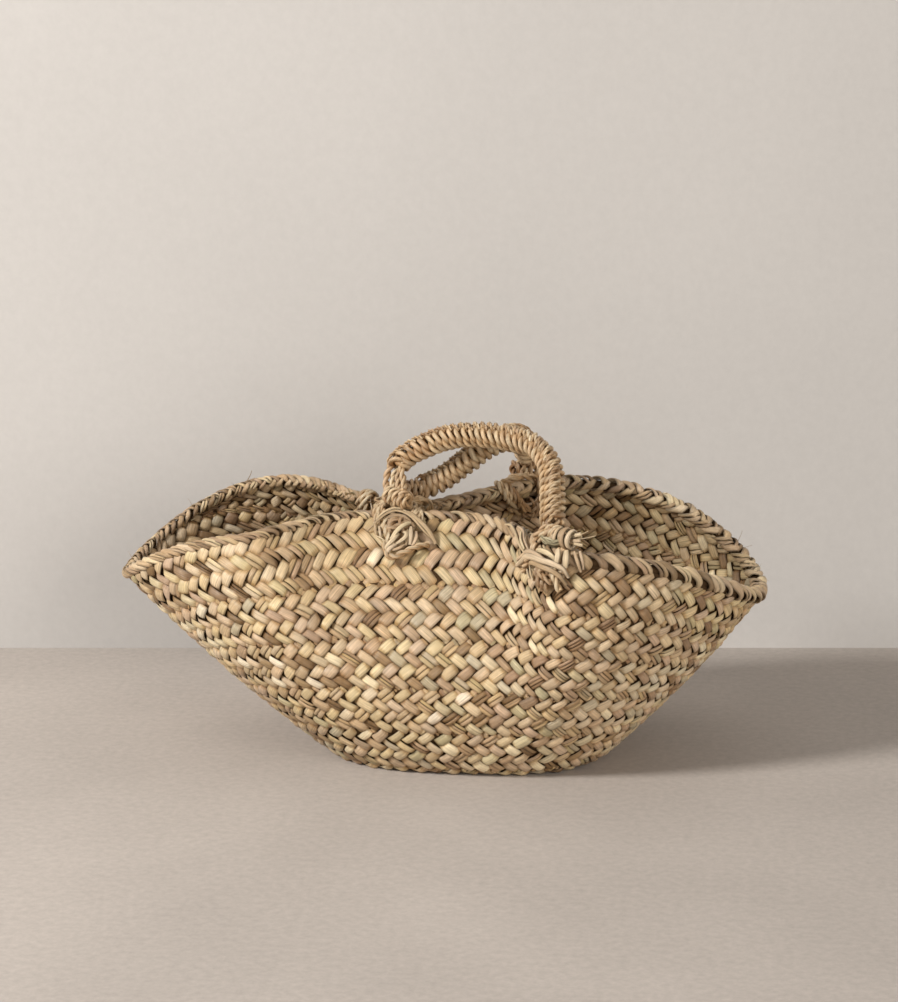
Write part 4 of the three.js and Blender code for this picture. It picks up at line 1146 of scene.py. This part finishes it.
STRANDS = {
    "front_left": [
        (1.1, 0.4, [(-22, -10, 2.2), (-19, -8, 3.5), (-12.8, -3.6, 6.5), (-7, 0, 8.2), (-1.4, 2.2, 9),
         (3, 1.6, 9.2), (8, -1, 9.4), (12, -4.5, 9.2), (15.6, -9, 8.5), (19.2, -13, 7),
         (23.4, -16.5, 4.5), (26.4, -18.5, 1.8)]),
        (1.2, 0.7, [(-17, -4, 3), (-13, -0.8, 5.5), (-9, 2.2, 7), (-4.6, 4.4, 8), (-0.7, 5.4, 8.4),
         (3, 4.8, 8.4), (7, 2.4, 8)]),
        (1.9, 0.4, [(6, 3.4, 7), (9.9, 0.6, 8.4), (13.5, -3.4, 9), (17.2, -6.8, 8.6), (21.4, -11.2, 7),
         (24.4, -15.5, 4.8), (26.6, -19.5, 1.8)]),
        (2.0, 0.2, [(-8, -1.6, 5.5), (-2, -1, 7.4), (3, -1.4, 7.6), (7.4, -3.4, 7.4), (11, -6.5, 5)]),
        (1.7, 0.3, [(-7.8, -4, 5.5), (-3.6, -4.4, 7), (0.7, -5, 7.4), (5, -6, 6)]),
        (1.5, 0.1, [(2.4, -8, 7), (5.6, -7.2, 9), (9, -7.4, 9), (12.4, -9.4, 7)]),
        (1.9, 0.85, [(-4.6, -21.5, 8), (-0.4, -16.6, 10.2), (3.3, -13.2, 11), (6.3, -10.6, 10.6),
         (10, -7.6, 8.4), (12.6, -8, 6)]),
        (1.9, 0.8, [(-10, -29, 5), (-6.3, -25.8, 8.4), (-2.2, -22, 9.4), (1, -17, 8)]),
        (1.8, 0.75, [(-9, -33, 5), (-7.2, -31, 7.6), (-4.6, -29, 8.8), (-1, -26, 8)]),
        (1.75, 0.8, [(-0.5, -25, 8), (3.3, -23.6, 10), (6.3, -20.6, 10.3), (6.6, -17, 9.6), (4.4, -15, 8)]),
        (1.8, 0.75, [(10, -10.8, 8), (9.8, -19, 9.6), (9, -24.5, 6.5)]),
        (1.7, 0.6, [(13.3, -13.5, 6.5), (13.3, -19.5, 7.6), (10.6, -25, 6)]),
        (1.3, 0.4, [(7.6, -13, 8), (7.1, -20.5, 9), (6.2, -25.6, 7)]),
        (1.4, 0.5, [(-3.6, -30.4, 7.5), (1.1, -29.8, 9.2), (5, -25.6, 7.5)]),
        (1.7, 0.8, [(12.6, 5, 1.8), (15.2, 11.8, 0.8), (17.2, 5.4, 3.8), (17.6, -0.6, 2.4)]),
        (1.1, 0.55, [(-15.8, -5, 4.5), (-16, -9, 4.5), (-15.4, -14, 2)]),
        (1.1, 0.75, [(-13, -8, 4.5), (-12.6, -12, 4.5), (-12, -17, 2)]),
        (0.7, 1.0, [(-15.4, -14.4, 2.4), (-11, -18, 3.6), (-8, -21, 3)]),
    ],
    "front_right": [
        (2.4, 0.75, [(-50, -17, 2), (-32, -8, 5), (-19, -1.6, 7.5), (-7, 1.6, 9), (3, 2.4, 10),
         (10.6, 2, 9.8), (15, -0.6, 7.5), (16.6, -5, 3.5)]),
        (1.9, 0.6, [(-48, -12, 2), (-31, -4.5, 5), (-19, 1.4, 6.8), (-8, 4.6, 8), (0, 4.6, 9),
         (6, 3.2, 9.6), (11, 2.2, 8)]),
        (2.1, 0.25, [(-24, -8, 3), (-8, -2.4, 8.4), (3, -2, 9.6), (9, -2.6, 9.4), (13, -5.4, 7.5),
         (15, -10, 3)]),
        (2.1, 0.85, [(-4, 7.5, 6), (3, 8.6, 8), (8, 8, 8.4), (12, 4, 7)]),
        (2.1, 0.95, [(12.6, 12, 6.4), (12.8, 8, 8.6), (11.6, 2, 8)]),
        (2.5, 0.8, [(16.2, 12, 5), (16.4, 7, 7.6), (15.6, 1, 6)]),
        (1.3, 0.5, [(20, 12.4, 4), (21.6, 6, 5.5), (23.6, -0.6, 2.6)]),
        (1.2, 0.6, [(23, 13, 2.8), (24, 8, 4), (25, 1.2, 2.4)]),
        (1.0, 0.8, [(-29, -9, 2.5), (-30, -15, 2.2), (-28, -19, 1.5)]),
        (1.1, 0.7, [(-22, -8, 3.5), (-23, -14, 2.6), (-22, -18, 1.6)]),
        (1.8, 0.7, [(7, -3, 7), (8, -9, 5), (9, -14, 2)]),
        (1.3, 0.7, [(-66, 9, 2), (-56, 11.4, 2.6), (-44, 9, 4.4), (-36, 2, 4.6), (-28, -4, 3)]),
        (1.2, 0.6, [(-46, 13.4, 1), (-32, 13.6, 2.6), (-25, 9, 5), (-19, 3, 5)]),
        (1.4, 0.85, [(-37, 12.8, 1.6), (-33, 7, 4.6), (-27, 1, 4.6)]),
    ],
    "back_left": [
        (1.6, 0.8, [(27, 12.6, -1), (22, 10, 2.4), (19, 2, -7), (20, -6, -8)]),
        (1.5, 0.9, [(33, 12.6, -2), (28, 8, -8), (26, -2, -9), (28, -12, -7)]),
    ],
    "back_right": [
        (1.6, 0.4, [(20, 12, -2), (18, 4, -9), (14, -5, -11), (6, -10, -10)]),
        (1.7, 0.3, [(-14, 12, -2), (-10, 4, -9), (-2, -2, -12), (8, -4, -11)]),
    ],
}
root_strands = [strand(root, *each) for root, rows in STRANDS.items() for each in rows]
grow("root_leaf_strands", strip_look(0.5, 0.5, 10, TIEDLEAF), root_strands, "basket", "root_cord")


# Stray fibres on the edge and the wall, then a few listed ones along the back edge
EDGE_FIBRES = 22
ALL_FIBRES = 46
BACK_FIBRES = ((-175, 1.0, 0.45, 11.0, 0.36), (-173, 0.7, 0.9, 6.0, 0.2), (-212, 0.9, -0.5, 8.0, 0.16),
               (129, 0.5, 1.0, 6.0, 0.5), (184, 0.9, 0.3, 12.0, 0.2), (187, 0.4, 1.0, 9.0, 0.18))


def stray_fibres():
    dice = np.random.default_rng(77)
    lines = []
    for k in range(ALL_FIBRES):
        run = dice.uniform(0, RIM_LENGTH)
        centre, rising, inward = rim_at(run)
        ahead = unit(rim_at(run + 2.0)[0] - centre)
        t = np.linspace(0, 1, 10)[:, None]
        side = -inward if dice.random() < 0.6 else inward
        if k < EDGE_FIBRES:
            start = centre + rising * 4.5
            way = rising * dice.uniform(0.1, 1.2) + side * dice.uniform(0.1, 0.5)
            way = unit(way + ahead * dice.normal(0, 1.0))
            reach = dice.uniform(3.5, 7.5)
        else:
            phi = np.interp(run, rim_run, rim_phi)
            at_wall, rising, inward = skin_frame(phi, BANDS - dice.uniform(8, 90) / band_width(phi))
            start = at_wall + inward * 0.4
            way = -rising * dice.uniform(0.0, 1.0) - inward * dice.uniform(0.05, 0.4)
            way = unit(way + ahead * dice.normal(0, 1.0))
            reach = dice.uniform(3, 7)
        bend = unit(dice.normal(0, 1, 3))
        at = start + way * reach * t + bend * (0.28 * reach) * t * t
        wide = dice.uniform(0.14, 0.3) * MM * (1 - 0.6 * t[:, 0])
        lines.append(thread(at, -inward + 0.01 * bend, wide=wide, over=0.9, tint=dice.uniform(0.3, 1)))
    back = np.nonzero(rim_centre[:, 1] > 30)[0]
    t = np.linspace(0, 1, 12)[:, None]
    for x, up, along, reach, wide in BACK_FIBRES:
        spot = back[np.argmin(np.abs(rim_centre[back, 0] - x))]
        start = rim_centre[spot] + top_rising[spot] * 3.8
        way = unit(np.array([along, -0.2, up]))
        at = start + way * reach * t + np.array([0.5, 0, 0.2]) * (0.2 * reach) * np.sin(2.4 * t)
        lines.append(thread(at, (0, -1, 0.1), wide=wide * MM * (1 - 0.5 * t[:, 0]), over=0.9, tint=0.1))
    return lines


grow("stray_fibres", strip_look(0.7, 0.0, 5, TIEDLEAF), stray_fibres(), "basket", "plait")

leaves = plait_leaves()
for lap in range(TURNS):
    node = "base_turn_%d" % (lap + 1) if lap < 2 else "wall_turn_%d" % (lap - 1)
    own = [leaf for leaf in leaves if leaf["lap"] == lap]
    grow(node + "_leaves", strip_look(0.09, 1.14, 10, PLAIT), own, "basket", "plait", node)

# Floor, wall, lights and camera: the floor and wall are square to the camera's heading
YAW = math.radians(7.0)
CAMERA_PLACE = (0.2507, -1.9818, 0.640)
CAMERA_DOWN = 13.1
FOCAL_LENGTH = 104.8
ROOM_LIGHT = 0.26
AHEAD = np.array([-math.sin(YAW), math.cos(YAW)])
ASIDE = np.array([math.cos(YAW), math.sin(YAW)])
WALL_FOOT = np.array([-21.7, 236.0])


def stage_sheet(name, corners, colour, cloud_size, rough, fleck):
    points = []
    for aside, ahead, up in corners:
        flat = WALL_FOOT + ASIDE * aside + AHEAD * ahead
        points.append((flat[0] * MM, flat[1] * MM, up * MM))
    mesh = bpy.data.meshes.new(name)
    mesh.from_pydata(points, [], [(0, 1, 2, 3)])
    piece = add_object(name, mesh)
    material, tree, surface = new_material(name)
    place = put(tree, "ShaderNodeTexCoord").outputs["Object"]
    cloud = times(tree, noise(tree, place, cloud_size, 8.0, 0.6), 0.55)
    cloud = maths(tree, "ADD", cloud, times(tree, noise(tree, place, cloud_size * 0.45, 3.0), 0.45))
    dust = noise(tree, place, cloud_size * 30, 6.0, 0.7)
    level = spread(tree, cloud, 1 - fleck, 1 + fleck)
    grit = spread(tree, dust, 1 - fleck, 1 + fleck)
    plain = made(tree, "ShaderNodeRGB")
    plain.default_value = (*colour, 1)
    tone = vectors(tree, "SCALE", plain, scale=times(tree, level, grit))
    tree.links.new(tone, surface.inputs["Base Color"])
    surface.inputs["Roughness"].default_value = rough
    surface.inputs["Specular IOR Level"].default_value = 0.25
    open_back = put(tree, "ShaderNodeMixShader", {
        "Fac": put(tree, "ShaderNodeNewGeometry").outputs["Backfacing"],
        1: surface.outputs["BSDF"], 2: made(tree, "ShaderNodeBsdfTransparent")})
    tree.links.new(open_back.outputs["Shader"], tree.nodes["Material Output"].inputs["Surface"])
    mesh.materials.append(material)


FLOOR = [(-3000, -3200, 0), (3000, -3200, 0), (3000, 2600, 0), (-3000, 2600, 0)]
BACKDROP = [(-1150, 0, 0), (1300, 0, 0), (1300, 0, 1500), (-1150, 0, 1500)]
stage_sheet("floor", FLOOR, (0.446, 0.40, 0.362), 6.0, 0.7, 0.10)
stage_sheet("backdrop", BACKDROP, (0.532, 0.511, 0.489), 5.0, 0.9, 0.03)


def lamp(name, place, aim, size, power, colour):
    light = bpy.data.lights.new(name, "AREA")
    light.shape = "DISK"
    light.size = size
    light.energy = power
    light.color = colour
    holder = add_object(name, light)
    holder.location = place
    toward = np.array(aim) - np.array(place)
    holder.rotation_mode = "QUATERNION"
    holder.rotation_quaternion = Vector(toward).to_track_quat("-Z", "Y")


lamp("window", (-1.58, -1.2, 1.38), (0, 0, 0.1), 0.5, 57.5, (1.0, 0.975, 0.945))
lamp("room", (1.9, -2.15, 0.8), (0, 0, 0.15), 2.0, 44.5, (1.0, 0.95, 0.89))
world = bpy.data.worlds.new("room_air")
bpy.context.scene.world = world
world.use_nodes = True
world.node_tree.nodes["Background"].inputs["Color"].default_value = (1.0, 0.98, 0.955, 1)
world.node_tree.nodes["Background"].inputs["Strength"].default_value = ROOM_LIGHT

lens = bpy.data.cameras.new("camera")
lens.sensor_width = 36
lens.lens = FOCAL_LENGTH
lens.clip_start = 0.05
camera = add_object("camera", lens)
camera.location = CAMERA_PLACE
camera.rotation_mode = "XYZ"
camera.rotation_euler = (math.radians(90 - CAMERA_DOWN), 0, YAW)
bpy.context.scene.camera = camera
bpy.context.scene.view_settings.view_transform = "Standard"
